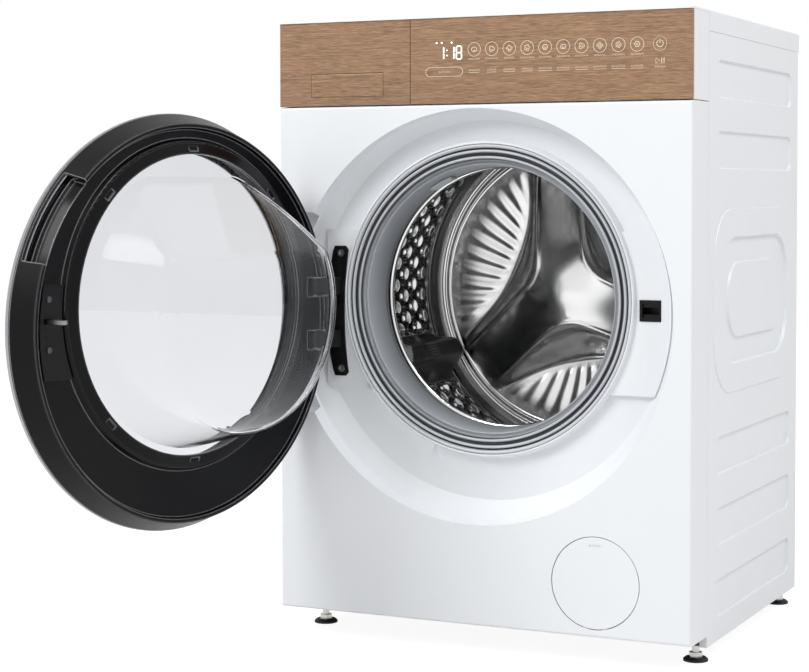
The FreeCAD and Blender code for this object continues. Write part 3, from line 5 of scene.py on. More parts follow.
import bmesh
import bpy
import numpy as np
from bpy.props import FloatProperty, FloatVectorProperty, IntProperty, PointerProperty
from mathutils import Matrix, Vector


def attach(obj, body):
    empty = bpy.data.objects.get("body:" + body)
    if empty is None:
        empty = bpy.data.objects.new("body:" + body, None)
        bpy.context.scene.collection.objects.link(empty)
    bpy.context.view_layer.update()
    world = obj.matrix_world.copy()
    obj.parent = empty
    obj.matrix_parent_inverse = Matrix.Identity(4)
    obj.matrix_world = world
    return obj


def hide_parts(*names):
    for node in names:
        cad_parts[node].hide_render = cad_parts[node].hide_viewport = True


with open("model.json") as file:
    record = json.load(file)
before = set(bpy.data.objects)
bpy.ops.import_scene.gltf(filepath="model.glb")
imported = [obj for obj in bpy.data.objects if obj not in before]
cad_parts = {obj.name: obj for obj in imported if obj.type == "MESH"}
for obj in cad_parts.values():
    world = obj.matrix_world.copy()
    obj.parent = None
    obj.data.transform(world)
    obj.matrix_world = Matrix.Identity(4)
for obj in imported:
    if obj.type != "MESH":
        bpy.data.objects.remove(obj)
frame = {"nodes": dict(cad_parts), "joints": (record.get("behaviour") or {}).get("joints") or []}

bl_info = {
    "name": "Front load washer looks",
    "version": (1, 0, 0),
    "blender": (4, 5, 0),
    "location": "View3D > Sidebar > Washer",
    "description": "Drum, gasket, glass, print and materials of a front load washing machine",
    "category": "Object",
}

nodes = frame["nodes"]
joints = {joint["name"]: joint for joint in frame["joints"]}

# Places, in metres, come from the frame's joints. CABINET is on the front's plane, below the drum's axis.
DRUM_AXIS = Vector(joints["drum_spin"]["pos_m"])
HINGE = Vector(joints["door_hinge"]["pos_m"])
DOOR_TURN = math.radians(joints["door_hinge"]["range_deg"][1])
DOOR_REACH = DRUM_AXIS.x - HINGE.x
CABINET = Vector((DRUM_AXIS.x, joints["filter_cover_hinge"]["pos_m"][1], 0.0))

# The surfaces are worked out in millimetres from CABINET.
MM = 0.001
PER_METRE = 1000.0
DRUM_HEIGHT = joints["drum_spin"]["pos_m"][2] * PER_METRE
SECTOR = math.tau / 3.0
FIRST_LIFTER = math.radians(207.0)

# Radii, in metres, between which one look turns into another: RIM for the door's grained rim, RING for
# painted shade on steel beyond the drum back's ring of beads, CROWN to VALLEY for painted shade from the tops
# of the wall's domes down between them; and the radius that rounds the door's edges to place their painted
# highlight.
RIM_FROM, RIM_TO = 0.2494, 0.2500
RING_FROM, RING_TO = 0.2318, 0.2336
CROWN, VALLEY = 0.2356, 0.2396
HIGHLIGHT_EDGE_RADIUS = 0.0024


# ---------------------------------------------------------------- settings

class WasherDrumSettings(bpy.types.PropertyGroup):
    """Sizes of the drum's inside."""

    radius: FloatProperty(
        name="Radius", description="Inner radius of the drum wall", default=0.240, unit="LENGTH")
    bumps: IntProperty(
        name="Bumps", description="Bumps in one row round the wall", default=45)
    bump: FloatProperty(
        name="Bump height", description="Height of a bump over the wall", default=0.0060, unit="LENGTH")
    first_row: FloatProperty(
        name="First row", description="Depth of the first row of bumps behind the front",
        default=0.1506, unit="LENGTH")
    star_turn: FloatProperty(
        name="Star angle", description="Angle of the star's first arm",
        default=math.radians(98.0), subtype="ANGLE")
    ribs: IntProperty(
        name="Fan ribs", description="Radial ribs round the back", default=48)
    rib_height: FloatProperty(
        name="Rib height", description="Height of a fan rib over the back", default=0.0014, unit="LENGTH")


class WasherLookSettings(bpy.types.PropertyGroup):
    """Colours and lamps."""

    white: FloatVectorProperty(
        name="Cabinet", description="Paint of the cabinet",
        subtype="COLOR", size=3, default=(0.832, 0.852, 0.878))
    bronze: FloatVectorProperty(
        name="Fascia", description="Base colour of the grained fascia",
        subtype="COLOR", size=3, default=(0.292, 0.169, 0.0925))
    key_light: FloatProperty(
        name="Key lamp", description="Power of the large lamp", default=89.0, unit="POWER")
    world_level: FloatProperty(
        name="World", description="Strength of the surrounding light", default=0.50)
    floor_level: FloatProperty(
        name="Floor", description="White added to the floor as the camera sees it", default=0.93)


# ---------------------------------------------------------------- materials

class Shader:
    """One procedural material, with short ways to add nodes to it and to link them."""

    def __init__(self, name):
        self.material = bpy.data.materials.new(name)
        self.material.use_nodes = True
        self.tree = self.material.node_tree
        self.surface = self.tree.nodes["Principled BSDF"]
        self.place = None

    def node(self, kind, **values):
        """A bare node with its own settings."""
        made = self.tree.nodes.new(kind)
        for key, value in values.items():
            setattr(made, key, value)
        return made

    def feed(self, socket, value):
        """Link an output to a socket, or set the socket's value."""
        if isinstance(value, bpy.types.NodeSocket):
            self.tree.links.new(value, socket)
        elif isinstance(value, (tuple, list, Vector)) and socket.type == "RGBA":
            socket.default_value = (*value, 1.0) if len(value) == 3 else tuple(value)
        else:
            socket.default_value = value

    def fill(self, made, **values):
        """Feed a node's sockets by name, with an underscore for a space."""
        for key, value in values.items():
            self.feed(made.inputs[key.replace("_", " ")], value)
        return made

    def set(self, **values):
        """Feed the sockets of the Principled surface."""
        self.fill(self.surface, **values)

    def coords(self):
        """Object coordinates, by one node for the whole material."""
        if self.place is None:
            self.place = self.node("ShaderNodeTexCoord").outputs["Object"]
        return self.place

    def mapped(self, scale, shift=(0.0, 0.0, 0.0)):
        """Object coordinates, stretched and shifted."""
        made = self.node("ShaderNodeMapping")
        return self.fill(made, Vector=self.coords(), Scale=scale, Location=shift).outputs[0]

    def noise(self, scale, detail=3.0, rough=0.5, vector=None, distortion=0.0):
        """Smooth noise from 0 to 1."""
        made = self.node("ShaderNodeTexNoise")
        self.fill(made, Vector=vector or self.coords(), Scale=scale, Detail=detail)
        return self.fill(made, Roughness=rough, Distortion=distortion).outputs["Fac"]

    def ramp(self, factor, *stops):
        """A colour, or a grey value, read off pairs of position and colour."""
        made = self.node("ShaderNodeValToRGB")
        self.feed(made.inputs[0], factor)
        ramp = made.color_ramp
        while len(ramp.elements) < len(stops):
            ramp.elements.new(0.5)
        for element, (position, colour) in zip(ramp.elements, stops):
            element.position = position
            rgb = colour if isinstance(colour, (tuple, list)) else (colour,) * 3
            element.color = (*rgb, 1.0)
        return made.outputs[0]

    def spread(self, factor, low, high, start=0.0, end=1.0):
        """A factor mapped from start..end to low..high."""
        made = self.node("ShaderNodeMapRange")
        self.fill(made, Value=factor, From_Min=start, From_Max=end, To_Min=low, To_Max=high)
        return made.outputs[0]

    def vary(self, noise, low, high):
        """A value from low to high over the middle of a noise's range."""
        return self.spread(noise, low, high, 0.3, 0.7)

    def math(self, kind, a, b):
        """One operation on two values."""
        made = self.node("ShaderNodeMath", operation=kind)
        self.feed(made.inputs[0], a)
        self.feed(made.inputs[1], b)
        return made.outputs[0]

    def mix(self, factor, a, b):
        """Colour a where the factor is 0, b where it is 1."""
        made = self.node("ShaderNodeMix", data_type="RGBA")
        self.feed(made.inputs["Factor"], factor)
        self.feed(made.inputs[6], a)
        self.feed(made.inputs[7], b)
        return made.outputs[2]

    def bump(self, height, strength, distance):
        """Roughen the surface by a height."""
        made = self.fill(self.node("ShaderNodeBump"), Strength=strength, Distance=distance, Height=height)
        self.set(Normal=made.outputs[0])

    def vector_math(self, kind, a, b):
        """The node of one operation on two vectors."""
        made = self.node("ShaderNodeVectorMath", operation=kind)
        self.feed(made.inputs[0], a)
        self.feed(made.inputs[1], b)
        return made

    def off_axis(self, origin, direction):
        """Distance of the shaded point from a line."""
        shift = self.vector_math("SUBTRACT", self.coords(), origin).outputs[0]
        cross = self.vector_math("CROSS_PRODUCT", shift, direction).outputs[0]
        length = self.node("ShaderNodeVectorMath", operation="LENGTH")
        self.feed(length.inputs[0], cross)
        return length.outputs["Value"]

    def off_drum(self):
        """Distance of the shaded point from the drum's axis."""
        return self.off_axis(DRUM_AXIS, Vector((0.0, 1.0, 0.0)))

    def mark(self):
        """The value marked on the mesh."""
        return self.node("ShaderNodeAttribute", attribute_name="mark").outputs["Fac"]


def plain(name, colour, rough, metal=0.0, grain=0.0, scale=900.0, vary=0.04, gloss=0.5):
    """Paint, plastic or metal with fine grain and a little variation of colour and gloss."""
    s = Shader(name)
    low, high = [[c * (1.0 + k * vary) for c in colour] for k in (-1.0, 1.0)]
    s.set(Base_Color=s.ramp(s.noise(14.0, 3.0), (0.3, low), (0.7, high)))
    s.set(Metallic=metal, Specular_IOR_Level=gloss)
    s.set(Roughness=s.vary(s.noise(60.0, 2.0), rough * 0.9, rough * 1.1))
    if grain:
        s.bump(s.noise(scale, 2.0), grain, 0.0004)
    return s.material


def wood_bronze(name, colour):
    """Long fine horizontal grain in a bronze film."""
    s = Shader(name)
    fine = s.noise(1300.0, 3.0, 0.6, s.mapped((0.05, 1.0, 1.0)))
    wide = s.noise(520.0, 3.0, 0.6, s.mapped((0.035, 1.0, 1.0), (0.3, 0.0, 0.7)), 0.6)
    grain = s.math("ADD", s.math("MULTIPLY", fine, 0.62), s.math("MULTIPLY", wide, 0.38))
    dark = [c * 0.58 for c in colour]
    pale = [min(1.0, c * 1.42) for c in colour]
    s.set(Base_Color=s.ramp(grain, (0.38, dark), (0.5, colour), (0.62, pale)), Metallic=0.3)
    s.set(Roughness=s.spread(grain, 0.30, 0.42, 0.4, 0.6), Coat_Weight=0.3, Coat_Roughness=0.1)
    return s.material


def glow(name, colour, strength):
    """Print with a faint painted glow, or figures of a display that shine, slightly uneven."""
    s = Shader(name)
    tone = s.vary(s.noise(300.0, 1.0), strength * 0.94, strength * 1.06)
    s.set(Base_Color=colour, Emission_Color=colour, Emission_Strength=tone, Roughness=0.5)
    return s.material


def clear(name, tint, index, gloss):
    """Glass with a faint streak."""
    s = Shader(name)
    streak = s.noise(7.0, 2.0)
    low = [c * 0.985 for c in tint]
    s.set(Base_Color=s.ramp(streak, (0.35, low), (0.65, tint)), Transmission_Weight=1.0)
    s.set(IOR=index, Specular_IOR_Level=gloss, Roughness=s.vary(streak, 0.0, 0.004))
    return s.material


def door_black(name):
    """Black plastic: a grained rim, a glossy ring inside it, and a painted highlight that makes the edges
    paler where the face turns.
    """
    s = Shader(name)
    across = Vector((math.cos(DOOR_TURN), -math.sin(DOOR_TURN), 0.0))
    outward = Vector((math.sin(DOOR_TURN), math.cos(DOOR_TURN), 0.0))
    rim = s.spread(s.off_axis(HINGE + across * DOOR_REACH, outward), 0.0, 1.0, RIM_FROM, RIM_TO)
    # Painted highlight: edges found where the bevelled normal parts from the face's normal are painted paler
    # and glossier.
    rounded = s.fill(s.node("ShaderNodeBevel", samples=6), Radius=HIGHLIGHT_EDGE_RADIUS).outputs[0]
    flat = s.node("ShaderNodeNewGeometry").outputs["Normal"]
    agree = s.vector_math("DOT_PRODUCT", rounded, flat).outputs["Value"]
    edge = s.spread(agree, 1.0, 0.0, 0.88, 0.998)
    s.set(Base_Color=s.mix(edge, (0.003, 0.003, 0.004), (0.26, 0.26, 0.27)))
    s.set(Specular_IOR_Level=s.spread(edge, 0.13, 0.5), Roughness=s.spread(rim, 0.16, 0.32))
    s.bump(s.math("MULTIPLY", s.noise(1500.0, 2.0), rim), 0.6, 0.0005)
    return s.material


def steel(name, rough, tint=(0.80, 0.80, 0.79)):
    """Polished stainless steel, with painted shade making it darker beyond the ring of beads where it faces
    only the wall.
    """
    s = Shader(name)
    smear = s.noise(9.0, 3.0)
    low = [c * 0.9 for c in tint]
    steel_tone = s.ramp(smear, (0.35, low), (0.65, tint))
    # Painted shade: beyond the ring of beads the steel is painted dark grey.
    shade_beyond_ring = s.spread(s.off_drum(), 0.0, 1.0, RING_FROM, RING_TO)
    s.set(Base_Color=s.mix(shade_beyond_ring, steel_tone, (0.2, 0.2, 0.2)), Metallic=1.0)
    s.set(Roughness=s.vary(smear, rough * 0.8, rough * 1.25))
    return s.material


def pierced_steel(name):
    """Steel: bright on the domes with painted shade darkening it between them, and black in the drain holes
    marked on the mesh, where the shade seen through the holes is painted.
    """
    s = Shader(name)
    hole_and_shade = s.mark()
    # Painted shade: darker from the domes' crowns down into the valleys between them.
    crown = s.spread(s.off_drum(), 1.0, 0.0, CROWN, VALLEY)
    shade_between_domes = s.mix(crown, (0.16, 0.16, 0.165), (0.92, 0.92, 0.92))
    # Painted shade: black in the drain holes, which the mesh only dents.
    s.set(Base_Color=s.mix(hole_and_shade, shade_between_domes, (0.004, 0.004, 0.004)), Metallic=s.spread(hole_and_shade, 1.0, 0.0))
    s.set(Roughness=s.vary(s.noise(30.0, 3.0), 0.07, 0.13))
    s.bump(s.noise(45.0, 2.0), 0.35, 0.0008)
    return s.material


def lifter_plastic(name):
    """Dark plastic behind a pale front wedge marked on the mesh."""
    s = Shader(name)
    tone = s.noise(40.0, 3.0)
    dark = s.ramp(tone, (0.35, (0.030, 0.031, 0.034)), (0.65, (0.040, 0.042, 0.045)))
    s.set(Base_Color=s.mix(s.mark(), (0.46, 0.47, 0.48), dark))
    s.set(Roughness=s.vary(tone, 0.30, 0.38))
    s.bump(s.noise(1500.0, 2.0), 0.06, 0.0003)
    return s.material


def gasket_rubber(name):
    """Blue grey rubber, with painted light making its front lips paler, painted shade nearly black in the
    folds and painted shade darkening it further in.
    """
    s = Shader(name)
    place = s.node("ShaderNodeSeparateXYZ")
    s.feed(place.inputs[0], s.coords())
    depth = s.math("SUBTRACT", place.outputs["Y"], CABINET.y)
    front, back = 0.024, 0.096
    # Painted light and shade along the depth: pale front lips, near black folds, and the main band darker
    # further in.
    shade = s.ramp(s.spread(depth, 0.0, 1.0, front, back),
                   (0.03, (0.62, 0.64, 0.67)), (0.075, (0.52, 0.54, 0.57)),
                   (0.10, (0.015, 0.016, 0.018)), (0.135, (0.10, 0.105, 0.115)),
                   (0.20, (0.46, 0.48, 0.51)), (0.86, (0.27, 0.29, 0.325)),
                   (0.90, (0.008, 0.008, 0.009)), (0.95, (0.20, 0.21, 0.22)))
    s.set(Base_Color=shade, Roughness=s.vary(s.noise(25.0, 2.0), 0.30, 0.36))
    return s.material


def paint(material, *names):
    """Give a material to carried-over nodes."""
    for name in names:
        slots = nodes[name].data.materials
        slots.clear()
        slots.append(material)


class WASHER_OT_paint(bpy.types.Operator):
    """Give every carried-over part its material"""

    bl_idname = "washer.paint"
    bl_label = "Paint the frame"

    def execute(self, context):
        look = context.scene.washer_look
        white, bronze = tuple(look.white), tuple(look.bronze)
        self.outside(white, bronze)
        self.drawer_and_wash_unit()
        self.door()
        return {"FINISHED"}

    def outside(self, white, bronze):
        """Cabinet, fascia, feet and what a hose or a cord leaves by."""
        feet = ("front_left", "front_right", "rear_left", "rear_right")
        paint(plain("cabinet_paint", white, 0.4, vary=0.003),
              "front_panel", "side_panel_left", "side_panel_right")
        paint(plain("cover_plastic", [c * 0.99 for c in white], 0.36, vary=0.004),
              "top_cover", "console_frame")
        paint(plain("service_cover_plastic", white, 0.32, vary=0.004), "filter_cover")
        paint(plain("zinc_sheet", (0.55, 0.57, 0.58), 0.42, 0.85, 0.05, 60.0, 0.12), "rear_panel")
        paint(plain("base_plastic", (0.07, 0.072, 0.075), 0.5, grain=0.1), "base_tray", "drain_pump")
        paint(plain("foot_rubber", (0.012, 0.012, 0.013), 0.7, grain=0.3, scale=1500.0),
              *[f"foot_pad_{place}" for place in feet])
        paint(plain("zinc_thread", (0.58, 0.58, 0.55), 0.32, 1.0, 0.1, 400.0),
              *[f"foot_stem_{place}" for place in feet])
        paint(wood_bronze("wood_bronze_film", bronze), "console_fascia", "drawer_front", "drawer_grip_flap")
        paint(plain("filter_plastic", (0.05, 0.16, 0.26), 0.4, grain=0.08), "pump_filter")
        paint(plain("fitting_plastic", (0.32, 0.34, 0.36), 0.42, grain=0.08), "inlet_valve", "drain_outlet")
        paint(plain("gland_plastic", (0.02, 0.02, 0.02), 0.5, grain=0.1), "mains_gland")

    def drawer_and_wash_unit(self):
        """Dispenser, tub, motor, weights and the parts of the drum that stay."""
        paint(plain("tray_plastic", (0.72, 0.75, 0.77), 0.38, grain=0.06), "drawer_tray", "dispenser_housing")
        paint(plain("siphon_plastic", (0.16, 0.28, 0.5), 0.35, grain=0.05), "siphon_cap")
        paint(plain("nozzle_plastic", (0.5, 0.52, 0.54), 0.2, grain=0.02), "spray_nozzle")
        paint(plain("tub_plastic", (0.4, 0.42, 0.43), 0.5, grain=0.1), "tub_front", "tub_rear")
        paint(plain("ground_steel", (0.6, 0.6, 0.6), 0.25, 1.0, 0.1), "shaft_bearings", "drum_shaft")
        paint(plain("stator_varnish", (0.3, 0.12, 0.05), 0.4, 0.6, 0.3, 200.0), "stator")
        paint(plain("cast_weight", (0.3, 0.3, 0.29), 0.85, grain=0.5, scale=120.0, vary=0.15),
              "counterweight_upper", "counterweight_lower")
        paint(plain("damper_plastic", (0.05, 0.05, 0.052), 0.4, grain=0.1), "damper_left", "damper_right")
        paint(steel("drum_steel", 0.14), "drum_front_ring")
        paint(plain("cast_alloy", (0.56, 0.57, 0.58), 0.5, 1.0, 0.3, 180.0), "drum_spider")
        paint(plain("rotor_paint", (0.1, 0.1, 0.11), 0.4, 0.5, 0.05), "motor_rotor")

    def door(self):
        """Rim, glass, latch and hinge."""
        paint(plain("bezel_metal", (0.36, 0.365, 0.375), 0.28, 0.9, 0.05, 600.0), "door_bezel")
        paint(clear("window_glass", (0.765, 0.775, 0.795), 1.12, 0.2), "door_window")
        paint(door_black("door_black_plastic"), "door_frame")
        paint(clear("bowl_glass", (0.985, 0.99, 0.995), 1.16, 0.3), "glass_bowl")
        paint(plain("latch_plastic", (0.004, 0.004, 0.005), 0.3, grain=0.08, gloss=0.2),
              "latch_plate", "door_lock")
        paint(plain("latch_screw_steel", (0.10, 0.10, 0.105), 0.35, 1.0, 0.05), "latch_screws")
        paint(plain("latch_zinc", (0.30, 0.30, 0.30), 0.3, 1.0, 0.05), "latch_pin", "latch_hook", "hinge_pin")
        paint(plain("hinge_paint", (0.006, 0.006, 0.007), 0.36, 0.0, 0.1, gloss=0.25), "hinge_plate")
        paint(plain("screw_steel", (0.55, 0.55, 0.56), 0.3, 1.0, 0.05), "hinge_screws")


# ---------------------------------------------------------------- surfaces

def smooth(value, start, end):
    """Cubic step from 0 at start to 1 at end."""
    t = np.clip((value - start) / (end - start), 0.0, 1.0)
    return t * t * (3.0 - 2.0 * t)


def lattice(rows, cols, wrap=False, first=0):
    """Quads of a rows by cols grid of vertices numbered from first, closed across the columns if wrap."""
    number = first + np.arange(rows * cols).reshape(rows, cols)
    if wrap:
        number = np.concatenate([number, number[:, :1]], axis=1)
    return np.stack([number[:-1, :-1], number[:-1, 1:], number[1:, 1:], number[1:, :-1]], -1).reshape(-1, 4)


def around(radius, turn, depth):
    """Points at a radius and an angle about the drum's axis, depth along it."""
    radius, turn, depth = np.broadcast_arrays(radius, turn, depth)
    return np.stack([radius * np.cos(turn), depth, DRUM_HEIGHT + radius * np.sin(turn)], -1).reshape(-1, 3)


def surface(name, points, faces, material, body, stands_for, angle, marks=None):
    """A closed mesh object in metres from points in millimetres of the cabinet and lists of faces."""
    mesh = bpy.data.meshes.new(name)
    place = np.asarray(points, float) * MM + np.array(CABINET)
    loops = np.concatenate([f.ravel() for f in faces]).astype(np.int32)
    counts = np.concatenate([np.full(len(f), f.shape[1]) for f in faces]).astype(np.int32)
    starts = np.concatenate([[0], np.cumsum(counts)[:-1]]).astype(np.int32)
    mesh.vertices.add(len(place))
    mesh.vertices.foreach_set("co", place.astype(np.float32).ravel())
    mesh.loops.add(len(loops))
    mesh.loops.foreach_set("vertex_index", loops)
    mesh.polygons.add(len(counts))
    mesh.polygons.foreach_set("loop_start", starts)
    mesh.update(calc_edges=True)
    if marks is not None:
        layer = mesh.attributes.new("mark", "FLOAT", "POINT")
        layer.data.foreach_set("value", np.asarray(marks, np.float32))
    work = bmesh.new()
    work.from_mesh(mesh)
    if any(not edge.is_manifold for edge in work.edges):
        raise RuntimeError(f"{name} is not closed")
    bmesh.ops.recalc_face_normals(work, faces=work.faces)
    if work.calc_volume(signed=True) < 0.0:
        bmesh.ops.reverse_faces(work, faces=work.faces)
    work.to_mesh(mesh)
    work.free()
    mesh.shade_smooth()
    mesh.set_sharp_from_angle(angle=math.radians(angle))
    mesh.materials.append(material)
    made = bpy.data.objects.new(name, mesh)
    bpy.context.scene.collection.objects.link(made)
    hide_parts(*stands_for)
    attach(made, body)
    return made


class WASHER_OT_drum_wall(bpy.types.Operator):
    """Make the drum's wall: radius over angle and depth, less a bead and domes on a cosine lattice"""

    bl_idname = "washer.drum_wall"
    bl_label = "Drum wall"

    def execute(self, context):
        drum = context.scene.washer_drum
        radius, bump, count = drum.radius * PER_METRE, drum.bump * PER_METRE, drum.bumps // 3
        first_row = drum.first_row * PER_METRE
        front, domes_end, back, sheet, hole_deep = 126.0, 350.0, 366.0, 1.0, 0.6
        dome_foot, dome_top, hole_edge = -1.2, 1.1, 0.2
        seam_flat, seam_full = 0.165, 0.205
        pitch = math.tau * radius / (3.0 * count)
        row = pitch * math.sqrt(0.75)

        depth = np.union1d(np.arange(front, domes_end, row / 20.0), np.linspace(domes_end, back, 33))
        turn = np.linspace(0.0, SECTOR, 22 * count + 1)
        y, a = np.meshgrid(depth, turn, indexing="ij")
        u, v = a * radius / pitch, (y - first_row) / row
        wave = sum(np.cos(math.tau * k) for k in (u + v * 0.5, u - v * 0.5, v))
        from_seam = np.minimum(a, SECTOR - a)
        inside = smooth(y, front + 3.0, front + 8.0) * smooth(-y, -domes_end, 7.0 - domes_end)
        inside = inside * smooth(from_seam, seam_flat, seam_full)
        dome = bump * smooth(wave, dome_foot, dome_top) * inside
        # Mask of the drain holes' dents, marked on the mesh; the material paints them black as the shade seen
        # through the holes.
        hole_and_shade = smooth(-wave, hole_edge, 1.0) * inside
        bead_y = np.array([front, 356.0, 358.0, 360.5, 362.0, back])
        bead_in = np.array([0.0, 0.0, 1.6, 1.6, 0.0, 0.0])
        inner = radius - dome + hole_deep * hole_and_shade - np.interp(y, bead_y, bead_in)
        outer = radius + sheet - bead_in

        rows, cols, strips = len(depth), len(turn), len(bead_y)
        number = np.arange((rows + strips) * cols)
        seen, behind = number[:rows * cols].reshape(rows, cols), number[rows * cols:].reshape(strips, cols)
        rims = [np.stack([i[:-1], i[1:], o[1:], o[:-1]], -1)
                for i, o in ((seen[0], behind[0]), (seen[-1], behind[-1]))]
        caps = [np.concatenate([seen[:, c], behind[::-1, c]])[None, :] for c in (0, -1)]
        faces = [lattice(rows, cols), lattice(strips, cols, False, rows * cols), *rims, *caps]
        marks = np.concatenate([hole_and_shade.ravel(), np.zeros(strips * cols)])
        material = pierced_steel("pierced_steel")
        for part in range(3):
            start = FIRST_LIFTER + (part - 1) * SECTOR
            points = np.concatenate([around(inner, a + start, y),
                                     around(outer[:, None], (turn + start)[None, :], bead_y[:, None])])
            surface(f"drum_wall_{part + 1}", points, faces, material, "drum",
                    ("drum_shell",), 60.0, marks)
        return {"FINISHED"}


class WASHER_OT_drum_back(bpy.types.Operator):
    """Make the pressed back: depth over radius and angle, a star by log-sum of arm distances, fan ribs"""

    bl_idname = "washer.drum_back"
    bl_label = "Drum back"

    def execute(self, context):
        drum = context.scene.washer_drum
        radial = np.concatenate([np.linspace(4.0, 204.0, 74), np.linspace(205.5, 240.0, 42)])
        turn = np.arange(0.0, math.tau, math.tau / 576)
        r, a = np.meshgrid(radial, turn, indexing="ij")
        away = self.arm_distances(r, a, drum.star_turn)

        # The star's flank rises from its foot to its crest and dies out towards the wall.
        crest_half, foot_half, arm_end = 37.0, 50.0, 212.0
        crest, foot = self.union(away, 9.0) - crest_half, self.union(away, 46.0) - foot_half
        part_way = -foot / (np.abs(foot) + np.abs(crest) + 1e-6)
        flank = np.where(crest <= 0.0, 1.0, np.where(foot >= 0.0, 0.0, part_way))
        rise = smooth(flank, 0.0, 0.97) * smooth(-r, -arm_end, -199.0)

        # Plate behind the star: a fan that comes forward, a ring of two beads and the cone to the wall.
        fan_lift, fan_end = 17.0, 209.5
        ring_start, ring_end, bead_pitch, bead_high = 211.0, 231.0, 10.0, 3.4
        plate = np.interp(r, [0.0, 207.0, fan_end, 211.5, ring_end, 233.0, 238.6, 240.0],
                          [388.0, 388.0, 387.0, 383.5, 383.5, 381.0, 369.5, 366.0])
        plate = plate - fan_lift * smooth(r, 96.0, 206.0) * (r < fan_end)
        beads = np.abs(np.sin(math.pi * (r - ring_start) / bead_pitch))
        plate = plate - bead_high * beads * (r > ring_start) * (r < ring_end)

        # Top of the star: a hub that falls away outward, a channel along each arm and a crest line.
        hub_depth, arm_fall = 308.0, 66.0
        channel_half, channel_deep = 34.0, 9.0
        crest_high, crest_in, crest_wide = 1.8, 1.5, 2.4
        top = hub_depth + arm_fall * (r / arm_end) ** 1.5
        middle = np.clip(1.0 - (away.min(0) / channel_half) ** 2, 0.0, 1.0)
        top = top + channel_deep * middle * smooth(r, 8.0, 120.0) * smooth(-r, -216.0, -186.0)
        top = top - crest_high * np.exp(-((crest + crest_in) / crest_wide) ** 2) * smooth(r, 20.0, 60.0)

        # Fan ribs lean a little and fade out at the star's foot, the hub and the rim.
        lean, upright_at = 0.0006, 150.0
        ribs = 0.5 + 0.5 * np.cos(drum.ribs * (a + lean * (r - upright_at)))
        ribs = ribs * smooth(foot, 3.0, 16.0) * smooth(r, 84.0, 112.0) * smooth(-r, -204.0, -192.0)
        y = plate * (1.0 - rise) + top * rise - drum.rib_height * PER_METRE * ribs

        rear = np.array([241.0, 235.0, 229.0, 223.0, 217.0, 206.0, 120.0, 24.0])
        level = np.array([366.6, 373.6, 379.2, 383.4, 387.0, 389.0, 389.0, 389.0])
        points = np.concatenate([around(r, a, y), around(rear[:, None], turn[None, :], level[:, None])])
        (rows, cols), behind = r.shape, len(rear)
        last = (rows + behind - 1) * cols
        faces = [lattice(rows, cols, True), lattice(behind, cols, True, rows * cols),
                 lattice(2, cols, True, (rows - 1) * cols),
                 np.arange(cols)[None, ::-1], np.arange(last, last + cols)[None, :]]
        surface("pressed_drum_back", points, faces, steel("pressed_steel", 0.21, (0.84, 0.84, 0.84)), "drum",
                ("drum_back",), 50.0)
        return {"FINISHED"}

    @staticmethod
    def arm_distances(r, a, star_turn):
        """Distance of each point from the middle line of each arm."""
        away = []
        for arm in range(3):
            along = a - star_turn - arm * SECTOR
            reach, side = r * np.cos(along), np.abs(r * np.sin(along))
            away.append(np.where(reach > 0.0, side, r))
        return np.stack(away)

    @staticmethod
    def union(away, soft):
        """Soft minimum of the distances."""
        return -soft * np.log(np.exp(-away / soft).sum(0))


class WASHER_OT_lifters(bpy.types.Operator):
    """Make the three lifters: a lift along Y times a rounded section, with fine ribs behind a wedge"""

    bl_idname = "washer.lifters"
    bl_label = "Drum lifters"

    def execute(self, context):
        seat, wall, high, rib_high, rib_count = 239.7, 239.4, 46.0, 1.0, 9.0
        wedge_end, wedge_skew = 175.0, 13.0
        along = np.concatenate([np.linspace(150.0, 196.0, 47), np.linspace(199.0, 349.4, 51)])
        across = np.linspace(-1.0, 1.0, 145)
        y, t = np.meshgrid(along, across, indexing="ij")
        lift = np.interp(y, [150.0, 156.0, 176.0, 200.0, 323.0, 338.0, 349.4],
                         [0.22, 0.4, 0.86, 0.95, 1.0, 0.9, 0.5])
        side = np.interp(y, [150.0, 176.0, 323.0, 349.4], [32.0, 40.0, 40.0, 36.0]) * t
        section = 1.0 - smooth(np.abs(t), 0.26, 1.0) ** 0.85
        dark = smooth(y + wedge_skew * t, wedge_end, wedge_end + 1.4)
        ridge = np.cos(math.tau * rib_count * t) * dark * smooth(-y, -262.0, -212.0)
        over = high * lift * section + rib_high * ridge * smooth(-np.abs(t), -0.86, -0.7)
        under = np.sqrt(seat ** 2 - side ** 2)
        crown = np.minimum(np.sqrt(wall ** 2 - side ** 2) - over, under - 0.3)

        rows, cols = y.shape
        number = np.arange(rows * cols).reshape(rows, cols)
        ring = np.concatenate([number[0, :], number[1:, -1], number[-1, -2::-1], number[-2:0:-1, 0]])
        skirt = np.stack([ring, np.roll(ring, -1), np.roll(ring, -1) + rows * cols, ring + rows * cols], -1)
        faces = [lattice(rows, cols), lattice(rows, cols, False, rows * cols), skirt]
        marks = np.concatenate([dark.ravel(), np.ones(rows * cols)])
        material = lifter_plastic("lifter_two_tone")
        for part in range(3):
            turn = FIRST_LIFTER + part * SECTOR
            cosine, sine = math.cos(turn), math.sin(turn)
            points = [np.stack([reach * cosine - side * sine, y,
                                DRUM_HEIGHT + reach * sine + side * cosine], -1).reshape(-1, 3)
                      for reach in (crown, under)]
            surface(f"ribbed_lifter_{part + 1}", np.concatenate(points), faces, material, "drum",
                    (f"lifter_{part + 1}",), 50.0, marks)
        return {"FINISHED"}


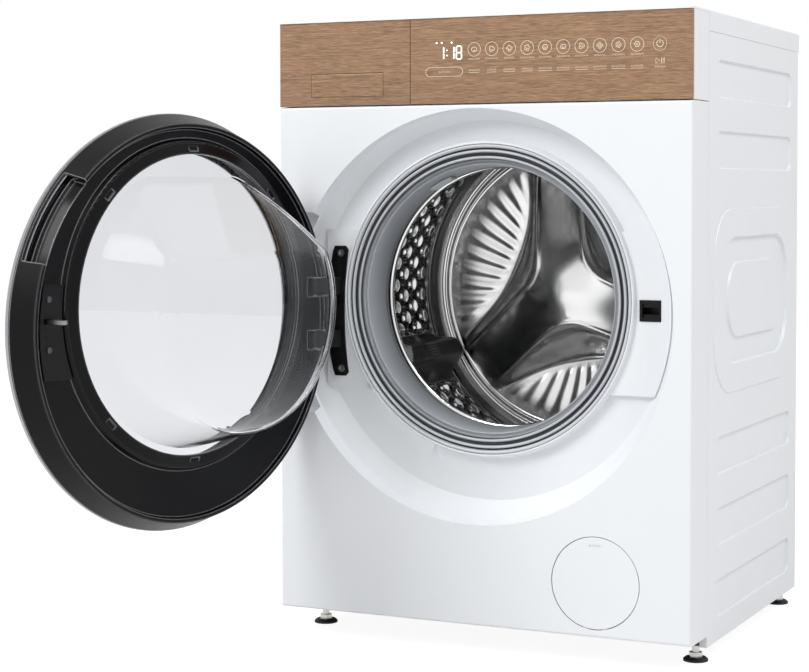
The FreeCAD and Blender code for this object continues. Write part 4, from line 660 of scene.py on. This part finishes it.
class WASHER_OT_gasket(bpy.types.Operator):
    """Make the door gasket: a closed, corner-cut profile of depth and radius turned about the drum's axis"""

    bl_idname = "washer.gasket"
    bl_label = "Door gasket"

    def execute(self, context):
        path = np.array([
            (27.0, 207.5), (25.6, 206.6), (25.3, 205.0), (26.2, 203.4), (29.0, 202.6), (31.5, 202.2),
            (31.5, 200.6), (27.6, 199.8), (26.6, 198.2), (27.6, 196.8), (33.0, 195.6), (34.4, 194.4),
            (33.2, 192.8), (29.8, 191.6), (28.8, 189.8), (30.0, 187.8), (34.5, 186.6), (38.0, 186.4),
            (40.0, 185.6), (38.6, 183.6), (36.8, 181.6), (37.8, 179.8), (44.0, 179.2), (60.0, 178.2),
            (80.0, 177.4), (88.0, 177.2), (89.0, 178.6), (90.4, 178.6), (91.2, 177.0), (93.4, 176.8),
            (94.8, 178.0), (94.0, 179.6), (80.0, 180.6), (64.0, 182.0), (53.0, 186.4), (50.0, 193.0),
            (52.0, 197.2), (57.0, 198.2), (66.0, 193.2), (72.0, 192.2), (90.0, 192.2), (90.0, 195.4),
            (74.0, 195.6), (64.0, 200.0), (55.0, 204.7), (54.0, 210.7), (50.4, 210.7), (50.4, 207.5)])
        corner_cut = 0.22
        for _ in range(2):
            after = np.roll(path, -1, axis=0)
            near, far = [path * (1.0 - cut) + after * cut for cut in (corner_cut, 1.0 - corner_cut)]
            path = np.stack([near, far], 1).reshape(-1, 2)
        turn = np.arange(0.0, math.tau, math.tau / 216)
        rows, cols = len(path), len(turn)
        points = around(path[:, 1][:, None], turn[None, :], path[:, 0][:, None])
        closing = np.concatenate([np.arange((rows - 1) * cols, rows * cols), np.arange(cols)])
        loop = np.concatenate([lattice(rows, cols, True), closing[lattice(2, cols, True)]])
        surface("moulded_gasket", points, [loop], gasket_rubber("gasket_rubber"), "cabinet",
                ("gasket",), 60.0)
        return {"FINISHED"}


# ---------------------------------------------------------------- print

def wavy(start, end, level, letters, high=1.15):
    """A word-like printed mark: a triangular wave along X."""
    count = 2 * letters + 1
    x = np.linspace(start, end, count)
    return np.stack([x, level + high * np.where(np.arange(count) % 2 == 0, -1.0, 1.0)], -1)


def arc(x, z, radius, start=0.0, end=360.0, lobes=0, depth=0.0, count=48):
    """Points of a circle or an arc, its radius waved into lobes."""
    turn = np.radians(np.linspace(start, end, count, endpoint=end - start < 360.0))
    reach = radius * (1.0 + depth * np.cos(lobes * turn))
    return np.stack([x + reach * np.cos(turn), z + reach * np.sin(turn)], -1)


def strokes(name, lines, material, stands_for):
    """Printed lines; each is a path, a width and whether it closes, swept with a low flat section."""
    proud, sunk = -0.22, 0.05
    points, faces, first = [], [], 0
    for path, width, closed in lines:
        before = np.roll(path, 1, axis=0) if closed else np.concatenate([path[:1], path[:-1]])
        after = np.roll(path, -1, axis=0) if closed else np.concatenate([path[1:], path[-1:]])
        along = after - before
        along = along / np.maximum(np.linalg.norm(along, axis=1, keepdims=True), 1e-9)
        side = np.stack([-along[:, 1], along[:, 0]], -1) * width * 0.5
        section = ((path + side, proud), (path - side, proud), (path - side, sunk), (path + side, sunk))
        ring = [np.stack([edge[:, 0], np.full(len(edge), y), edge[:, 1]], -1) for edge, y in section]
        count = len(path)
        points.append(np.stack(ring, 1).reshape(-1, 3))
        number = first + np.arange(count * 4).reshape(count, 4)
        loops = np.concatenate([number, number[:1]]) if closed else number
        loops = np.concatenate([loops, loops[:, :1]], axis=1)
        quads = np.stack([loops[:-1, :-1], loops[:-1, 1:], loops[1:, 1:], loops[1:, :-1]], -1)
        faces.append(quads.reshape(-1, 4))
        if not closed:
            faces += [number[:1, ::-1], number[-1:]]
        first += count * 4
    return surface(name, np.concatenate(points), faces, material, "cabinet", stands_for, 30.0)


class WASHER_OT_console_print(bpy.types.Operator):
    """Make the fascia's print and clock figures: paths of circles, lobed roses, waves and bars swept flat"""

    bl_idname = "washer.console_print"
    bl_label = "Console print"

    def execute(self, context):
        # The key print is ink given a faint painted glow; the clock figures are a lit display.
        glowing_print = glow("key_print_glow", (0.86, 0.72, 0.56), 0.14)
        light = glow("display_light", (0.95, 1.0, 0.94), 1.5)
        strokes("console_print", self.keys() + self.pill() + self.power(), glowing_print, ("key_marks",))
        strokes("clock_figures", self.clock(), light, ("display_digits",))
        return {"FINISHED"}

    @staticmethod
    def keys():
        """Ten round keys, each with an icon, a word below it and an underlined second word."""
        first_x, pitch, key_z, icon_z, radius = -3.7, 25.2, 803.5, 803.2, 9.0
        upper_z, lower_z, underline_z = 791.0, 776.2, 773.1
        upper_words = (16, 18, 14, 19, 17, 18, 17, 15, 17, 18)
        lower_words = (15, 13, 16, 15, 18, 17, 17, 18, 18, 16)
        lines = []
        for key, (upper, lower) in enumerate(zip(upper_words, lower_words)):
            x = first_x + pitch * key
            lines.append((arc(x, key_z, radius), 0.5, True))
            rose = arc(x, key_z, 3.4, lobes=2 + key % 5, depth=0.12 + 0.03 * (key % 4))
            open_arc = arc(x, icon_z, 1.3 + 0.12 * (key % 3), 200.0 - 20.0 * key, 340.0 + 12.0 * key)
            lines += [(rose, 0.6, True), (open_arc, 0.55, False)]
            for width, level in ((upper, upper_z), (lower, lower_z)):
                half = width / 2.0
                lines.append((wavy(x - half, x + half, level, width // 2 - 1), 0.42, False))
            lines.append((np.array([(x - half, underline_z), (x + half, underline_z)]), 0.4, False))
        return lines

    @staticmethod
    def pill():
        """The long key with round ends and a word in it."""
        left_x, right_x, z, radius = -68.2, -26.4, 775.0, 6.0
        outline = np.concatenate([arc(left_x, z, radius, 90.0, 270.0, count=20),
                                  arc(right_x, z, radius, -90.0, 90.0, count=20)])
        return [(outline, 0.5, True), (wavy(-55.0, -39.6, z, 7), 0.42, False)]

    @staticmethod
    def power():
        """The power sign in its ring and the start and pause sign below it."""
        x, z = 253.6, 803.5
        play_x, tip_x, low, high = 248.2, 254.0, 778.4, 785.4
        lines = [(arc(x, z, 4.3, 118.0, 422.0), 0.7, False),
                 (np.array([(x, z + 0.3), (x, z + 5.9)]), 0.7, False),
                 (arc(x, z, 9.0), 0.3, True),
                 (np.array([(play_x, high), (play_x, low), (tip_x, (low + high) / 2.0)]), 0.6, True)]
        for bar_x in (256.0, 259.0):
            lines.append((np.array([(bar_x, low), (bar_x, high)]), 0.8, False))
        lines.append((wavy(247.0, 260.4, 774.2, 6), 0.4, False))
        return lines

    @staticmethod
    def clock():
        """Seven segment figures, a colon and three lamps above them."""
        low, mid, high, wide = 791.4, 799.9, 808.4, 7.4
        colon_x, lamp_z, end_gap, middle_gap = -43.2, 813.5, 0.9, 0.7
        bars = []
        for x, full in ((-55.4, False), (-40.6, False), (-29.4, True)):
            right = x + wide
            for start, end in ((low + end_gap, mid - middle_gap), (mid + middle_gap, high - end_gap)):
                bars.append((np.array([(right, start), (right, end)]), 1.5, False))
                if full:
                    bars.append((np.array([(x, start), (x, end)]), 1.5, False))
            if full:
                for z in (low, mid, high):
                    bars.append((np.array([(x + end_gap, z), (right - end_gap, z)]), 1.4, False))
        for z in (796.6, 803.4):
            bars.append((arc(colon_x, z, 0.45, count=12), 0.9, True))
        for x in (-58.3, -50.9, -36.4):
            bars.append((arc(x, lamp_z, 0.6, count=14), 1.2, True))
        return bars


# ---------------------------------------------------------------- stage

def seen_rays(tree):
    """1 for rays from the camera, a mirror or glass, 0 for all others."""
    path = tree.nodes.new("ShaderNodeLightPath")
    seen = path.outputs["Is Camera Ray"]
    for kind in ("Is Glossy Ray", "Is Transmission Ray"):
        either = tree.nodes.new("ShaderNodeMath")
        either.operation = "MAXIMUM"
        tree.links.new(seen, either.inputs[0])
        tree.links.new(path.outputs[kind], either.inputs[1])
        seen = either.outputs[0]
    return seen


def area_lamp(name, place, target, size, power):
    """A square lamp that looks at its target."""
    data = bpy.data.lights.new(name, "AREA")
    data.shape = "RECTANGLE"
    data.size, data.size_y = size, size
    data.energy = power
    lamp = bpy.data.objects.new(name, data)
    bpy.context.scene.collection.objects.link(lamp)
    lamp.location = place
    lamp.rotation_euler = (Vector(target) - Vector(place)).to_track_quat("-Z", "Y").to_euler()


class WASHER_OT_stage(bpy.types.Operator):
    """Add the camera, the lamps, the surrounding light and the floor"""

    bl_idname = "washer.stage"
    bl_label = "Set the stage"

    def execute(self, context):
        look = context.scene.washer_look
        context.scene.view_settings.view_transform = "Standard"
        self.camera(context.scene)
        self.world(context.scene, look.world_level)
        self.floor(context, look.floor_level)
        area_lamp("key_lamp", (-1.4, -2.6, 3.1), (0.0, 0.0, 0.5), 1.8, look.key_light)
        fill_share = 0.54
        area_lamp("fill_lamp", (2.1, -0.7, 3.2), (0.2, 0.2, 0.4), 1.2, look.key_light * fill_share)
        return {"FINISHED"}

    @staticmethod
    def camera(scene):
        """The photograph's place and angle, fitted to the cabinet's corners."""
        data = bpy.data.cameras.new("camera")
        data.lens, data.sensor_width = 87.6, 36.0
        data.shift_x, data.shift_y = -0.0445, -0.0967
        data.clip_start, data.clip_end = 0.05, 60.0
        camera = bpy.data.objects.new("camera", data)
        scene.collection.objects.link(camera)
        camera.location = (1.1058, -2.3978, 0.6180)
        camera.rotation_euler = (math.radians(88.03), 0.0, math.radians(25.0))
        scene.camera = camera

    @staticmethod
    def world(scene, level):
        """White for rays from the camera, a mirror or glass, and the given level for all others."""
        world = bpy.data.worlds.new("studio")
        world.use_nodes = True
        scene.world = world
        tree = world.node_tree
        back = tree.nodes["Background"]
        strength = tree.nodes.new("ShaderNodeMapRange")
        tree.links.new(seen_rays(tree), strength.inputs["Value"])
        strength.inputs["To Min"].default_value = level
        strength.inputs["To Max"].default_value = 1.0
        tree.links.new(strength.outputs[0], back.inputs["Strength"])
        back.inputs["Color"].default_value = (1.0, 1.0, 1.0, 1.0)

    @staticmethod
    def floor(context, level):
        """A pale floor that keeps the shadow and is nearly white for the camera, a mirror or glass."""
        bpy.ops.mesh.primitive_plane_add(size=12.0, location=(0.0, 0.0, 0.0))
        floor = context.object
        floor.name = "floor"
        s = Shader("floor_pale")
        seen = seen_rays(s.tree)
        emit = s.fill(s.node("ShaderNodeEmission"), Strength=s.math("MULTIPLY", seen, level))
        pale = s.ramp(s.noise(3.0, 2.0), (0.3, 0.78), (0.7, 0.80))
        s.set(Base_Color=s.mix(seen, pale, (0.25, 0.25, 0.25)), Roughness=0.95, Specular_IOR_Level=0.0)
        total = s.node("ShaderNodeAddShader")
        s.feed(total.inputs[0], s.surface.outputs[0])
        s.feed(total.inputs[1], emit.outputs[0])
        s.feed(s.tree.nodes["Material Output"].inputs["Surface"], total.outputs[0])
        floor.data.materials.append(s.material)


# ---------------------------------------------------------------- add-on

class WASHER_PT_panel(bpy.types.Panel):
    """Sidebar panel with the settings and the steps"""

    bl_label = "Front load washer"
    bl_space_type = "VIEW_3D"
    bl_region_type = "UI"
    bl_category = "Washer"

    def draw(self, context):
        for settings in (context.scene.washer_drum, context.scene.washer_look):
            box = self.layout.box()
            for name in settings.__annotations__:
                box.prop(settings, name)
        for step in STEPS:
            self.layout.operator(step.bl_idname)


STEPS = (WASHER_OT_paint, WASHER_OT_drum_wall, WASHER_OT_drum_back, WASHER_OT_lifters, WASHER_OT_gasket,
         WASHER_OT_console_print, WASHER_OT_stage)
CLASSES = (WasherDrumSettings, WasherLookSettings, *STEPS, WASHER_PT_panel)


def register():
    for cls in CLASSES:
        bpy.utils.register_class(cls)
    bpy.types.Scene.washer_drum = PointerProperty(type=WasherDrumSettings)
    bpy.types.Scene.washer_look = PointerProperty(type=WasherLookSettings)


def unregister():
    del bpy.types.Scene.washer_look
    del bpy.types.Scene.washer_drum
    for cls in reversed(CLASSES):
        bpy.utils.unregister_class(cls)


def main():
    register()
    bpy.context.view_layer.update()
    for step in STEPS:
        group, name = step.bl_idname.split(".")
        getattr(getattr(bpy.ops, group), name)()


if __name__ == "__main__":
    main()
